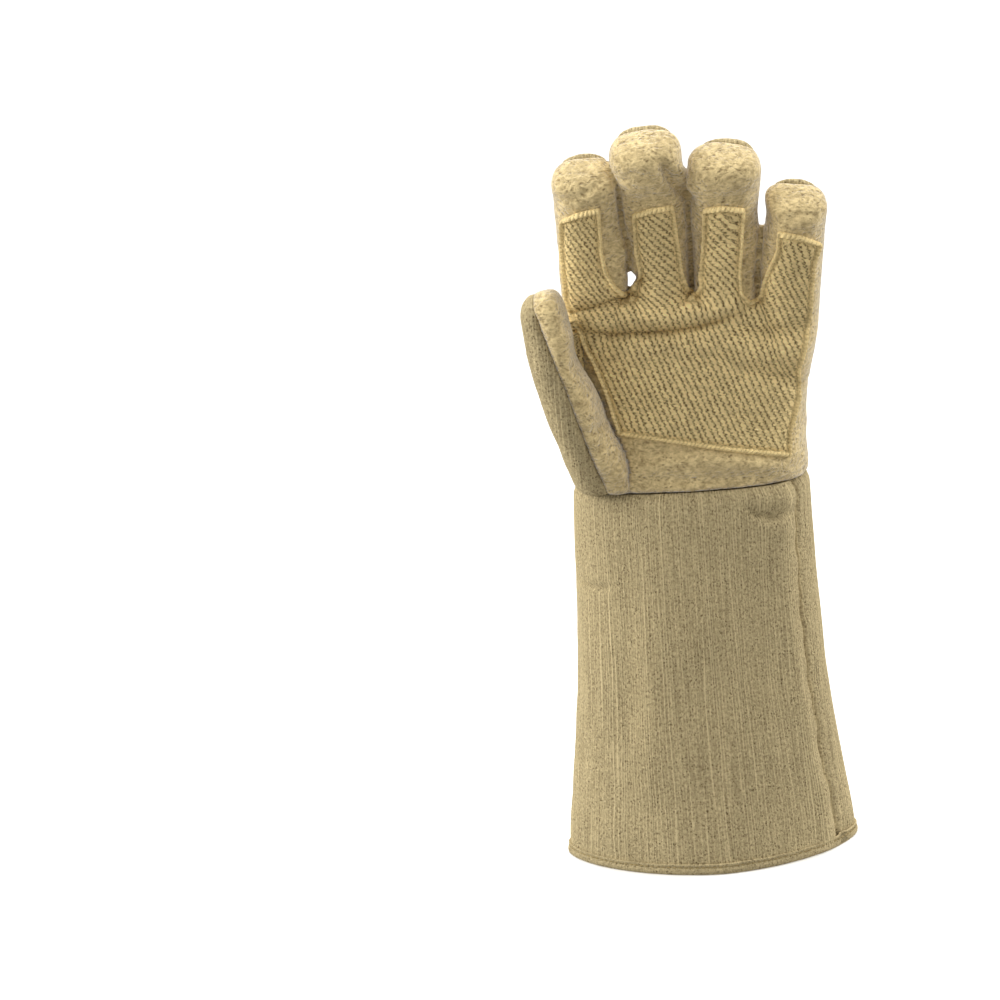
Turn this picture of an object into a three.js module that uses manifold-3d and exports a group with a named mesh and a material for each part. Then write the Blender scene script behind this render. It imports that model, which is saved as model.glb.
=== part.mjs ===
// Heat-resistant work glove for the left hand, with a long gauntlet cuff, standing on its cuff.
// Millimetres, +Z up, palm towards -Y, thumb towards -X, fingers up.
// The glove is padded felt about as thick as a finger's padding is in real life, hollow all through,
// and sewn from a woven back, a felt palm, a two-piece thumb, a wrapped cuff, a hem binding
// and two twill reinforcement patches.
import * as THREE from "three";
import { mergeVertices } from "three/addons/utils/BufferGeometryUtils.js";
import Module from "manifold-3d";

const wasm = await Module();
wasm.setup();

// Walls and clearances
const WALL = 5; // padded felt with its lining
const SEAM_GAP = 0.3; // between pieces that are sewn edge to edge
const PATCH_THICKNESS = 2.4; // heavy twill
const PATCH_BACK_LIMIT = 12; // the patch ends this far in front of the back panel's seam
const THUMB_PATCH_THICKNESS = 2;

// Cuff: from the hem on the floor up to the wrist seam
const CUFF_HEIGHT = 218;
const MOUTH_WIDTH = 165;
const MOUTH_DEPTH = 98;
const MOUTH_POWER = 1.7; // below 2 the mouth is a pointed oval, above 2 a squarish one
const MOUTH_TURN = 4; // degrees, the mouth is twisted against the wrist
const WRIST_WIDTH = 131;
const WRIST_DEPTH = 76;
const WRIST_POWER = 2.3;
const HEM_HEIGHT = 6.5;
const HEM_THICKNESS = 1.2;
const CUFF_SEAM_WIDTH = 9;
const CUFF_SEAM_DEPTH = 2.6;
const CUFF_SEAM_ANGLE = 333; // degrees round from +X, on the little finger's side of the palm

// Hand: from the wrist seam to the bottom of the finger crotches
const HAND_HEIGHT = 106;
const HAND_WIDTH = 136;
const HAND_DEPTH = 62;
const KNUCKLE_FORWARD = 13; // how far the knuckle line leans towards the palm
const CROTCH_DROP = 13; // the little finger's crotch lies lower than the index finger's

// Fold across the palm, from and to as shares of the hand's width, up as a share of its height
const CREASE_FROM = -0.36;
const CREASE_TO = 0.1;
const CREASE_UP = 0.83;
const CREASE_RADIUS = 9;
const CREASE_DEPTH = 3.5;
const CREASE_SAG = 5; // the fold's ends hang this much lower than its middle
const CREASE_FACE_Y = -35.5; // the palm's face where the fold lies

// Fingers
const FINGER_ROOT_BELOW = 44; // how far a finger's tube starts below the top of the hand
const FINGER_DEPTH = 35;
const FINGER_ROOT_DEPTH = 46;
const CURL_ROOT = 3; // degrees towards the palm
const CURL_TIP = 36;
const BACK_SEAM_SHARE = 0.55; // where the back panel's seam lies on a finger, from its middle to its back
const HAND_SEAM_THUMB_SIDE = 25; // the same seam's place on the hand, behind the glove's middle
const HAND_SEAM_LITTLE_SIDE = 1.5;

const FINGER_REACH = 144; // the middle finger's, from its root to its tip
const FINGER_WIDTH = 38; // the middle fingertip's

// centre: the root's place as a share of the hand's width; lean: degrees towards the little finger;
// reach, rootWidth, padWidth: shares of FINGER_REACH and FINGER_WIDTH
const FINGERS = [
  { name: "index", centre: -0.342, lean: 0.4, reach: 0.875, rootWidth: 0.934, padWidth: 0.96 },
  { name: "middle", centre: -0.086, lean: -0.2, reach: 1, rootWidth: 0.868, padWidth: 1 },
  { name: "ring", centre: 0.154, lean: 3.8, reach: 0.951, rootWidth: 0.842, padWidth: 1 },
  { name: "little", centre: 0.396, lean: 5, reach: 0.785, rootWidth: 0.908, padWidth: 0.868 },
];

// Thumb
const THUMB_LENGTH = 127;
const THUMB_WIDTH = 41; // from its palm side to its nail side, along Y
const THUMB_THICKNESS = 35;
const THUMB_BASE = { x: -45, y: -19 };
const THUMB_OUT = 25; // how far the tip stands out sideways from the base
const THUMB_FORWARD = 34; // how far it stands out in front of the base

const ROUND_STEPS = { cuff: 40, hand: 36, finger: 16, thumb: 18 };
const HOLLOW_STEPS = { hand: 24, finger: 12, thumb: 12 };

// Each table's lengths are shares of the named sizes above.
// up: height; flare: from the wrist's size to the mouth's
const CUFF_ROWS = [
  { up: 0, flare: 1 },
  { up: 0.1, flare: 0.9 },
  { up: 0.22, flare: 0.67 },
  { up: 0.34, flare: 0.46 },
  { up: 0.5, flare: 0.26 },
  { up: 0.72, flare: 0.07 },
  { up: 0.93, flare: 0.04 },
  { up: 1, flare: 0 },
];

// up: height; thumbSide, littleSide: half widths; palm, back: half depths; lean: towards the palm; drop: tilt
const HAND_ROWS = [
  { up: 0, thumbSide: 0.49, littleSide: 0.48, palm: 0.61, back: 0.61, lean: 0, drop: 0 },
  { up: 0.07, thumbSide: 0.494, littleSide: 0.483, palm: 0.635, back: 0.61, lean: 0.02, drop: 0 },
  { up: 0.2, thumbSide: 0.485, littleSide: 0.475, palm: 0.58, back: 0.55, lean: 0.1, drop: 0.05 },
  { up: 0.42, thumbSide: 0.472, littleSide: 0.486, palm: 0.54, back: 0.5, lean: 0.3, drop: 0.15 },
  { up: 0.64, thumbSide: 0.468, littleSide: 0.507, palm: 0.49, back: 0.41, lean: 0.5, drop: 0.3 },
  { up: 0.8, thumbSide: 0.47, littleSide: 0.525, palm: 0.44, back: 0.33, lean: 0.7, drop: 0.5 },
  { up: 0.92, thumbSide: 0.466, littleSide: 0.528, palm: 0.35, back: 0.31, lean: 0.92, drop: 0.8 },
];

// along: share of the thumb's length; out, forward: of THUMB_OUT and THUMB_FORWARD
const THUMB_ROWS = [
  { along: 0.05, out: 0, forward: 0, thickness: 1.06, width: 1.02 },
  { along: 0.26, out: 0.22, forward: 0.34, thickness: 1.06, width: 1.02 },
  { along: 0.5, out: 0.54, forward: 0.68, thickness: 1, width: 0.98 },
  { along: 0.75, out: 0.85, forward: 0.91, thickness: 0.93, width: 0.92 },
  { along: 1, out: 1, forward: 1, thickness: 0.86, width: 0.84 },
];

// The palm patch's outline seen from the front: x as a share of the hand's width from its middle,
// z as a share of the hand's height above the wrist seam, up the four finger strips and back.
const PATCH_OUTLINE = [
  { x: -0.283, z: 0.325 },
  { x: -0.335, z: 0.6 },
  { x: -0.4, z: 0.82 },
  { x: -0.468, z: 1.03 },
  { x: -0.465, z: 1.45 },
  { x: -0.292, z: 1.5 },
  { x: -0.28, z: 1.2 },
  { x: -0.214, z: 0.975 },
  { x: -0.165, z: 1.05 },
  { x: -0.165, z: 1.45 },
  { x: -0.008, z: 1.5 },
  { x: 0.018, z: 1.06 },
  { x: 0.03, z: 0.955 },
  { x: 0.088, z: 0.97 },
  { x: 0.105, z: 1.45 },
  { x: 0.262, z: 1.44 },
  { x: 0.245, z: 0.97 },
  { x: 0.27, z: 0.89 },
  { x: 0.325, z: 1.0 },
  { x: 0.385, z: 1.32 },
  { x: 0.54, z: 1.27 },
  { x: 0.5, z: 0.95 },
  { x: 0.455, z: 0.59 },
  { x: 0.368, z: 0.168 },
];

// The thumb patch's outline seen from the thumb's side: y as a share of the hand's depth behind the
// glove's middle, z as a share of the hand's height above the wrist seam. It runs from the back panel
// round the crotch to the thumb's outer edge.
const THUMB_PATCH_OUTLINE = [
  { y: 0.34, z: 0.26 },
  { y: -0.72, z: 0.6 },
  { y: -0.8, z: 0.76 },
  { y: -0.84, z: 0.9 },
  { y: -0.45, z: 0.95 },
  { y: -0.2, z: 0.86 },
  { y: 0.27, z: 0.84 },
];
const THUMB_PATCH_INNER_EDGE = -40; // the patch stays on this side of x, clear of the palm

const WRIST_Z = CUFF_HEIGHT;
const HAND_TOP_Z = WRIST_Z + HAND_HEIGHT;
const FAR = 400; // cutting blocks reach past everything

// Solids and meshes

function toSolid(geometry) {
  const bare = geometry.clone();
  bare.deleteAttribute("normal");
  bare.deleteAttribute("uv");
  const merged = mergeVertices(bare, 1e-4);
  return new wasm.Manifold(
    new wasm.Mesh({
      numProp: 3,
      vertProperties: new Float32Array(merged.attributes.position.array),
      triVerts: new Uint32Array(merged.index.array),
    }),
  );
}

function toGeometry(solid) {
  const mesh = solid.getMesh();
  const positions = new Float32Array(mesh.numVert * 3);
  for (let i = 0; i < mesh.numVert; i++) {
    const start = i * mesh.numProp;
    positions.set(mesh.vertProperties.subarray(start, start + 3), i * 3);
  }
  const geometry = new THREE.BufferGeometry();
  geometry.setAttribute("position", new THREE.BufferAttribute(positions, 3));
  geometry.setIndex(new THREE.BufferAttribute(new Uint32Array(mesh.triVerts), 1));
  geometry.computeVertexNormals();
  return geometry;
}

// A closed skin through rings of equal count, each end closed by a fan to its centre.
function skin(rings) {
  const count = rings[0].length;
  const positions = rings.flat().flatMap((p) => [p.x, p.y, p.z]);
  const index = [];
  for (let r = 0; r + 1 < rings.length; r++) {
    for (let i = 0; i < count; i++) {
      const a = r * count + i;
      const b = r * count + ((i + 1) % count);
      index.push(a, b, b + count, a, b + count, a + count);
    }
  }
  const ends = [
    { ring: 0, turn: false },
    { ring: rings.length - 1, turn: true },
  ];
  for (const end of ends) {
    const middle = rings[end.ring]
      .reduce((sum, p) => sum.add(p), new THREE.Vector3())
      .divideScalar(count);
    const tip = positions.length / 3;
    positions.push(middle.x, middle.y, middle.z);
    for (let i = 0; i < count; i++) {
      const a = end.ring * count + i;
      const b = end.ring * count + ((i + 1) % count);
      index.push(...(end.turn ? [a, b, tip] : [b, a, tip]));
    }
  }
  const geometry = new THREE.BufferGeometry();
  geometry.setAttribute("position", new THREE.Float32BufferAttribute(positions, 3));
  geometry.setIndex(index);
  return geometry;
}

// A ring of a rounded section in the plane of side and back, with its own half size each way.
function ring(centre, side, back, half, power, steps) {
  const points = [];
  for (let i = 0; i < steps; i++) {
    const angle = (2 * Math.PI * i) / steps;
    const c = Math.cos(angle);
    const s = Math.sin(angle);
    const across = Math.sign(c) * Math.abs(c) ** (2 / power) * (c > 0 ? half.plus : half.minus);
    const deep = Math.sign(s) * Math.abs(s) ** (2 / power) * (s > 0 ? half.back : half.palm);
    points.push(centre.clone().addScaledVector(side, across).addScaledVector(back, deep));
  }
  return points;
}

// A tube along a line of stations, each with a centre and half sizes, with rounded ends.
function tube(stations, { power, steps, side, startDome, endDome }) {
  const DOME_STEPS = 3;
  const DOME_POWER = 2.5;
  const last = stations.length - 1;
  const rings = [];
  const frameAt = (k) => {
    const from = stations[Math.max(k - 1, 0)].centre;
    const to = stations[Math.min(k + 1, last)].centre;
    const along = to.clone().sub(from).normalize();
    const back = new THREE.Vector3().crossVectors(along, side).normalize();
    const across = new THREE.Vector3().crossVectors(back, along).normalize();
    return { along, back, across };
  };
  const domeRing = (k, step, length, sign) => {
    const { along, back, across } = frameAt(k);
    const t = step / DOME_STEPS;
    const advance = Math.sin((t * Math.PI) / 2) * 0.985;
    const share = (1 - advance ** DOME_POWER) ** (1 / DOME_POWER);
    const centre = stations[k].centre.clone().addScaledVector(along, sign * advance * length);
    const half = Object.fromEntries(
      Object.entries(stations[k].half).map(([name, value]) => [name, value * share]),
    );
    return ring(centre, across, back, half, power, steps);
  };
  for (let step = DOME_STEPS; step > 0; step--) rings.push(domeRing(0, step, startDome, -1));
  stations.forEach((station, k) => {
    const { back, across } = frameAt(k);
    rings.push(ring(station.centre, across, back, station.half, power, steps));
  });
  for (let step = 1; step <= DOME_STEPS; step++) rings.push(domeRing(last, step, endDome, 1));
  return toSolid(skin(rings));
}

function block(x0, x1, y0, y1, z0, z1) {
  const box = new THREE.BoxGeometry(x1 - x0, y1 - y0, z1 - z0);
  box.translate((x0 + x1) / 2, (y0 + y1) / 2, (z0 + z1) / 2);
  return toSolid(box);
}

// An outline of x or y against z, extruded through the whole part along the axis across it.
function prism(outline, plane) {
  const geometry = new THREE.ExtrudeGeometry(new THREE.Shape(outline), {
    depth: 2 * FAR,
    bevelEnabled: false,
  });
  geometry.translate(0, 0, -FAR);
  geometry.rotateX(Math.PI / 2);
  if (plane === "yz") geometry.rotateZ(Math.PI / 2);
  return toSolid(geometry);
}

// Cuff

// The cuff's filled form between two heights, grown or shrunk by some millimetres, seam valley included.
function cuffForm(grow, fromZ, toZ) {
  const seamAngle = THREE.MathUtils.degToRad(CUFF_SEAM_ANGLE);
  const sizeAt = (z) => {
    const up = THREE.MathUtils.clamp(z / CUFF_HEIGHT, 0, 1);
    const k = Math.max(1, CUFF_ROWS.findIndex((row) => row.up >= up));
    const low = CUFF_ROWS[k - 1];
    const high = CUFF_ROWS[k];
    const flare = THREE.MathUtils.mapLinear(up, low.up, high.up, low.flare, high.flare);
    return {
      across: THREE.MathUtils.lerp(WRIST_WIDTH, MOUTH_WIDTH, flare) / 2 + grow,
      deep: THREE.MathUtils.lerp(WRIST_DEPTH, MOUTH_DEPTH, flare) / 2 + grow,
      power: THREE.MathUtils.lerp(WRIST_POWER, MOUTH_POWER, flare),
      turn: THREE.MathUtils.degToRad(MOUTH_TURN) * flare,
    };
  };
  const heights = CUFF_ROWS.map((row) => row.up * CUFF_HEIGHT);
  const inside = heights.filter((z) => z > fromZ + 1 && z < toZ - 1);
  const rings = [fromZ, ...inside, toZ].map((z) => {
    const { across, deep, power, turn } = sizeAt(z);
    const half = { plus: across, minus: across, palm: deep, back: deep };
    const centre = new THREE.Vector3(0, 0, z);
    const side = new THREE.Vector3(Math.cos(turn), Math.sin(turn), 0);
    const back = new THREE.Vector3(-Math.sin(turn), Math.cos(turn), 0);
    const points = ring(centre, side, back, half, power, ROUND_STEPS.cuff);
    return points.map((p, i) => {
      const angle = (2 * Math.PI * i) / ROUND_STEPS.cuff;
      const apart = Math.atan2(Math.sin(angle - seamAngle), Math.cos(angle - seamAngle));
      const away = Math.abs(apart) * Math.hypot(p.x, p.y);
      const dent = CUFF_SEAM_DEPTH * Math.max(0, 1 - away / CUFF_SEAM_WIDTH);
      const shrink = 1 - dent / Math.hypot(p.x, p.y);
      return new THREE.Vector3(p.x * shrink, p.y * shrink, z);
    });
  });
  return toSolid(skin(rings));
}

function makeCuff() {
  const bottom = HEM_THICKNESS + SEAM_GAP;
  const top = WRIST_Z - SEAM_GAP / 2;
  const outside = cuffForm(0, bottom, top);
  return outside.subtract(cuffForm(-WALL, bottom - 1, top + 1));
}

// A binding folded round the cuff's lower edge, with a flat underside.
function makeHemBinding() {
  const reach = SEAM_GAP + HEM_THICKNESS;
  const band = cuffForm(reach, 0, HEM_HEIGHT).subtract(cuffForm(-WALL - reach, -1, HEM_HEIGHT + 1));
  const slot = cuffForm(SEAM_GAP, HEM_THICKNESS, HEM_HEIGHT + 1).subtract(
    cuffForm(-WALL - SEAM_GAP, 0, HEM_HEIGHT + 2),
  );
  return band.subtract(slot);
}

// Hand and fingers

// The hand's own filled form, from below the wrist seam up to the finger crotches.
function palmForm(grow) {
  const side = new THREE.Vector3(1, 0, 0);
  const back = new THREE.Vector3(0, 1, 0);
  const rowRing = (row, share, lift) => {
    const centre = new THREE.Vector3(0, -KNUCKLE_FORWARD * row.lean, 0);
    const half = {
      minus: (HAND_WIDTH * row.thumbSide + grow) * share,
      plus: (HAND_WIDTH * row.littleSide + grow) * share,
      palm: (HAND_DEPTH * row.palm + grow) * share,
      back: (HAND_DEPTH * row.back + grow) * share,
    };
    const slope = (-CROTCH_DROP * row.drop) / HAND_WIDTH;
    const z = WRIST_Z + HAND_HEIGHT * row.up + lift;
    const steps = grow < 0 ? HOLLOW_STEPS.hand : ROUND_STEPS.hand;
    return ring(centre, side, back, half, 2.5, steps).map(
      (p) => new THREE.Vector3(p.x, p.y, z + slope * p.x),
    );
  };
  const first = HAND_ROWS[0];
  const last = HAND_ROWS[HAND_ROWS.length - 1];
  const dome = HAND_HEIGHT * (1 - last.up) + grow;
  const rings = [rowRing(first, 1, -12), ...HAND_ROWS.map((row) => rowRing(row, 1, 0))];
  for (const [share, lift] of [[0.96, 0.6], [0.86, 0.9], [0.7, 1]]) {
    rings.push(rowRing(last, share, dome * lift));
  }
  return toSolid(skin(rings));
}

// Stations along a finger's middle line, which leans sideways and curls towards the palm.
function fingerStations(finger, grow) {
  const STATIONS = 6;
  const lean = Math.tan(THREE.MathUtils.degToRad(finger.lean));
  const dome = FINGER_WIDTH * finger.padWidth * 0.4;
  const straight = FINGER_REACH * finger.reach - dome;
  const slope = -CROTCH_DROP / HAND_WIDTH;
  const x = finger.centre * HAND_WIDTH;
  const centre = new THREE.Vector3(
    x,
    -KNUCKLE_FORWARD * 0.72,
    HAND_TOP_Z - FINGER_ROOT_BELOW + slope * x,
  );
  const stations = [];
  for (let k = 0; k < STATIONS; k++) {
    const t = k / (STATIONS - 1);
    const emerge = 0.8 + 0.2 * THREE.MathUtils.smoothstep(t, 0, 0.3);
    const share = THREE.MathUtils.lerp(finger.rootWidth, finger.padWidth, t ** 0.8);
    const width = FINGER_WIDTH * share * emerge;
    const settle = THREE.MathUtils.smoothstep(t, 0.1, 0.6);
    const depth = THREE.MathUtils.lerp(FINGER_ROOT_DEPTH, FINGER_DEPTH, settle) * emerge;
    const half = width / 2 + grow;
    stations.push({
      centre: centre.clone(),
      half: { plus: half, minus: half, palm: depth / 2 + grow, back: depth / 2 + grow },
    });
    const curl = THREE.MathUtils.degToRad(THREE.MathUtils.lerp(CURL_ROOT, CURL_TIP, t));
    const step = straight / (STATIONS - 1);
    centre.add(
      new THREE.Vector3(lean * Math.cos(curl), -Math.sin(curl), Math.cos(curl)).multiplyScalar(step),
    );
  }
  return { stations, dome };
}

function fingerForm(finger, grow) {
  const { stations, dome } = fingerStations(finger, grow);
  return tube(stations, {
    power: 2.3,
    steps: grow < 0 ? HOLLOW_STEPS.finger : ROUND_STEPS.finger,
    side: new THREE.Vector3(1, 0, 0),
    startDome: 6 + grow,
    endDome: dome + grow,
  });
}

// The fold across the palm, a shallow valley that runs out at both ends.
function palmCrease(grow) {
  const STATIONS = 7;
  const half = CREASE_RADIUS - grow;
  const stations = [];
  for (let k = 0; k < STATIONS; k++) {
    const t = k / (STATIONS - 1);
    const rise = CREASE_DEPTH * (1 - (2 * t - 1) ** 2);
    stations.push({
      centre: new THREE.Vector3(
        HAND_WIDTH * THREE.MathUtils.lerp(CREASE_FROM, CREASE_TO, t),
        CREASE_FACE_Y - CREASE_RADIUS + rise,
        WRIST_Z + HAND_HEIGHT * CREASE_UP - CREASE_SAG * 4 * (t - 0.5) ** 2,
      ),
      half: { plus: half, minus: half, palm: half, back: half },
    });
  }
  const side = new THREE.Vector3(0, 0, 1);
  return tube(stations, { power: 2, steps: 10, side, startDome: 4, endDome: 4 });
}

function handForm(grow) {
  const filled = FINGERS.reduce((form, finger) => form.add(fingerForm(finger, grow)), palmForm(grow));
  return filled.subtract(palmCrease(grow));
}

// Where a finger's back seam lies at a height, following its curl and its lean.
function fingerSeamAt(finger, z) {
  const { stations } = fingerStations(finger, 0);
  const found = stations.findIndex(({ centre }) => centre.z > z);
  const k = found < 0 ? stations.length - 1 : Math.max(1, found);
  const [low, high] = [stations[k - 1], stations[k]];
  const t = (z - low.centre.z) / (high.centre.z - low.centre.z);
  const seam = ({ centre, half }) => centre.y + BACK_SEAM_SHARE * half.back;
  return {
    x: THREE.MathUtils.lerp(low.centre.x, high.centre.x, t),
    y: THREE.MathUtils.lerp(seam(low), seam(high), t),
  };
}

// The block behind the seam between the felt palm and the woven back. On the hand the seam runs
// further round to the back on the thumb's side; on the fingers it follows each finger's curl.
function backBlock(backward) {
  const FINGER_ROWS = 9;
  const edge = HAND_WIDTH / 2;
  const handRows = [0, WRIST_Z + HAND_HEIGHT * 0.35].map((z) => ({
    z,
    seam: FINGERS.map(({ centre }) => {
      const x = centre * HAND_WIDTH;
      const y = THREE.MathUtils.mapLinear(x, -edge, edge, HAND_SEAM_THUMB_SIDE, HAND_SEAM_LITTLE_SIDE);
      return { x, y };
    }),
  }));
  const from = HAND_TOP_Z - CROTCH_DROP;
  const to = HAND_TOP_Z + FINGER_REACH;
  const fingerRows = Array.from({ length: FINGER_ROWS }, (_, k) => {
    const z = THREE.MathUtils.lerp(from, to, k / (FINGER_ROWS - 1));
    return { z, seam: FINGERS.map((finger) => fingerSeamAt(finger, z)) };
  });
  const rings = [...handRows, ...fingerRows].map(({ z, seam }) => {
    const first = seam[0];
    const last = seam[seam.length - 1];
    return [
      new THREE.Vector3(-FAR, first.y + backward, z),
      ...seam.map(({ x, y }) => new THREE.Vector3(x, y + backward, z)),
      new THREE.Vector3(FAR, last.y + backward, z),
      new THREE.Vector3(FAR, FAR, z),
      new THREE.Vector3(-FAR, FAR, z),
    ];
  });
  return toSolid(skin(rings));
}

// Thumb

function thumbStations(grow) {
  return THUMB_ROWS.map((row) => {
    const thick = (THUMB_THICKNESS * row.thickness) / 2 + grow;
    const wide = (THUMB_WIDTH * row.width) / 2 + grow;
    const rise = Math.sqrt(THUMB_LENGTH ** 2 - THUMB_OUT ** 2 - THUMB_FORWARD ** 2);
    return {
      centre: new THREE.Vector3(
        THUMB_BASE.x - THUMB_OUT * row.out,
        THUMB_BASE.y - THUMB_FORWARD * row.forward,
        WRIST_Z + (rise - THUMB_THICKNESS * 0.42) * row.along,
      ),
      half: { plus: thick, minus: thick, palm: wide, back: wide },
    };
  });
}

function thumbForm(grow) {
  return tube(thumbStations(grow), {
    power: 2.2,
    steps: grow < 0 ? HOLLOW_STEPS.thumb : ROUND_STEPS.thumb,
    side: new THREE.Vector3(1, 0, 0),
    startDome: 14 + grow,
    endDome: THUMB_THICKNESS * 0.42 + grow,
  });
}

// The block on the outer side of the seam that runs up the thumb's edge, seen from the front.
function thumbOuterBlock(inward) {
  const line = thumbStations(0).map(({ centre }) => new THREE.Vector2(centre.x + inward, centre.z));
  const first = line[0];
  const last = line[line.length - 1];
  const points = [
    new THREE.Vector2(-FAR, 0),
    new THREE.Vector2(first.x, 0),
    ...line,
    new THREE.Vector2(last.x - 4, FAR),
    new THREE.Vector2(-FAR, FAR),
  ];
  return prism(points, "xz");
}

// Build

const aboveWrist = block(-FAR, FAR, -FAR, FAR, WRIST_Z + SEAM_GAP / 2, FAR * 2);
const handOuter = handForm(0).intersect(aboveWrist);
const handHollow = handForm(-WALL);
const handShell = handOuter.subtract(handHollow);
const thumbHollow = thumbForm(-WALL);

function makeBackPanel() {
  return handShell.intersect(backBlock(0)).subtract(thumbForm(SEAM_GAP));
}

function makePalmPanel() {
  return handShell.subtract(backBlock(-SEAM_GAP)).subtract(thumbHollow);
}

const thumbShell = thumbForm(0)
  .intersect(aboveWrist)
  .subtract(thumbHollow)
  .subtract(handForm(SEAM_GAP));

// A skin laid over a form, cut to an outline.
function patch(form, thickness, outline) {
  return form(thickness + SEAM_GAP).subtract(form(SEAM_GAP)).intersect(outline);
}

function palmPatchBlock(grow) {
  const outline = PATCH_OUTLINE.map(
    ({ x, z }) => new THREE.Vector2(x * HAND_WIDTH, WRIST_Z + z * HAND_HEIGHT),
  );
  const scale = 1 + (2 * grow) / HAND_WIDTH;
  const middleZ = WRIST_Z + HAND_HEIGHT;
  return prism(outline, "xz")
    .translate([0, 0, -middleZ])
    .scale([scale, 1, scale])
    .translate([0, 0, middleZ])
    .subtract(backBlock(grow - PATCH_BACK_LIMIT));
}

function makePalmPatch() {
  return patch(handForm, PATCH_THICKNESS, palmPatchBlock(0)).subtract(thumbForm(SEAM_GAP));
}

function makeThumbPatch() {
  const outline = THUMB_PATCH_OUTLINE.map(
    ({ y, z }) => new THREE.Vector2(y * HAND_DEPTH, WRIST_Z + z * HAND_HEIGHT),
  );
  const form = (grow) => handForm(grow).add(thumbForm(grow));
  const outer = block(-FAR, THUMB_PATCH_INNER_EDGE, -FAR, FAR, 0, FAR * 2);
  const palmPatch = handForm(PATCH_THICKNESS + 2 * SEAM_GAP).intersect(palmPatchBlock(2 * SEAM_GAP));
  return patch(form, THUMB_PATCH_THICKNESS, prism(outline, "yz")).intersect(outer).subtract(palmPatch);
}

const pieces = [
  { name: "cuff", solid: makeCuff(), color: 0xcbbd8c },
  { name: "hem_binding", solid: makeHemBinding(), color: 0xbfae7c },
  { name: "back_panel", solid: makeBackPanel(), color: 0xd0c090 },
  { name: "palm_panel", solid: makePalmPanel(), color: 0xd6c799 },
  { name: "thumb_outer", solid: thumbShell.intersect(thumbOuterBlock(0)), color: 0xd0c090 },
  { name: "thumb_inner", solid: thumbShell.subtract(thumbOuterBlock(SEAM_GAP)), color: 0xd6c799 },
  { name: "palm_patch", solid: makePalmPatch(), color: 0xc7b272 },
  { name: "thumb_patch", solid: makeThumbPatch(), color: 0xc7b272 },
];

// The origin is the middle of the glove's box, on the floor.
const boxes = pieces.map(({ solid }) => solid.boundingBox());
const middle = (axis) => {
  const low = Math.min(...boxes.map((box) => box.min[axis]));
  const high = Math.max(...boxes.map((box) => box.max[axis]));
  return (low + high) / 2;
};
const toOrigin = [-middle(0), -middle(1), 0];

const glove = new THREE.Group();
for (const piece of pieces) {
  const material = new THREE.MeshStandardMaterial({ color: piece.color, roughness: 0.95, metalness: 0 });
  const mesh = new THREE.Mesh(toGeometry(piece.solid.translate(toOrigin)), material);
  mesh.name = piece.name;
  glove.add(mesh);
}

export default glove;
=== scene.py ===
"""A padded heat-resistant glove that stands on its gauntlet cuff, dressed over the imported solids."""

import math

import bpy
import numpy as np
from bpy.props import FloatProperty, FloatVectorProperty, PointerProperty
from bpy.types import Operator, Panel, PropertyGroup
from mathutils import Matrix, Vector
from mathutils.bvhtree import BVHTree
from mathutils.kdtree import KDTree


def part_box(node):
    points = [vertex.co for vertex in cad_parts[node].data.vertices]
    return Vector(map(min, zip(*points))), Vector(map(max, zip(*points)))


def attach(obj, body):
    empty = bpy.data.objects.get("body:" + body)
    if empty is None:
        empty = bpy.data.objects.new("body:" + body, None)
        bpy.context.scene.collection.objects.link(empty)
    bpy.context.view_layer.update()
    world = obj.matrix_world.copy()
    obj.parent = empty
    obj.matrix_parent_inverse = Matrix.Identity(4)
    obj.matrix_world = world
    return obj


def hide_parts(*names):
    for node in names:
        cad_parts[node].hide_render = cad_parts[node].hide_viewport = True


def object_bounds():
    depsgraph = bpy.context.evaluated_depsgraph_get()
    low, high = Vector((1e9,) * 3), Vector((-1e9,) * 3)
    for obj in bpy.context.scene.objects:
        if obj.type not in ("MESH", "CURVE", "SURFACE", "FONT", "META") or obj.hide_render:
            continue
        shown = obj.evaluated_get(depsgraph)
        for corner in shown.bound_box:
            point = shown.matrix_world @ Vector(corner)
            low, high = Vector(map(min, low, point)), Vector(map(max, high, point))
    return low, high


bl_info = {
    "name": "Heat-resistant glove",
    "version": (1, 0, 0),
    "blender": (4, 5, 0),
    "location": "3D View > Sidebar > Glove",
    "description": "Builds a padded work glove with a long cuff, standing on its hem",
    "category": "Add Mesh",
}

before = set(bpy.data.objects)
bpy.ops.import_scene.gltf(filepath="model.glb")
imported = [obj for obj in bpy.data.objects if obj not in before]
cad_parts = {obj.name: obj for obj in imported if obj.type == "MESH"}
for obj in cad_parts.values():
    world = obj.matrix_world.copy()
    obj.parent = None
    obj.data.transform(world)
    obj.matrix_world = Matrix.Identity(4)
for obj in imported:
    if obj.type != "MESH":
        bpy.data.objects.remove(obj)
CAD_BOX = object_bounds()

# Every form below is worked out in millimetres, with the cuff's axis at x = y = 0, the palm towards
# -y and the thumb towards -x. The axis is where the hem binding's box has its middle.
MM = 0.001
HEM_LOW, HEM_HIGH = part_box("hem_binding")
CUFF_AXIS = np.array([(HEM_LOW.x + HEM_HIGH.x) / 2, (HEM_LOW.y + HEM_HIGH.y) / 2, 0.0])
HEM_HEIGHT = HEM_HIGH.z / MM
WRIST_Z = round(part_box("palm_panel")[0].z / MM)

WALL = 5.0
WALL_CLEARANCE = 0.6  # the hand's wall is this much thinner, inside
TAPE_THICKNESS = 1.5
LOOP_PITCH = 2.2  # from loop to loop along a cord of the twill
PALM_TWILL_SLANT = 21  # degrees, below the fingers
THUMB_TWILL_SLANT = 0.35  # radians
RAY_START = -140.0  # outside the glove, on the palm's and on the thumb's side
MOUTH_WIDTH = 165.0
MOUTH_DEPTH = 98.0
MOUTH_POWER = 1.7
MOUTH_TURN = math.radians(4)
WRIST_WIDTH = 131.0
WRIST_DEPTH = 76.0
WRIST_POWER = 2.3

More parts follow.
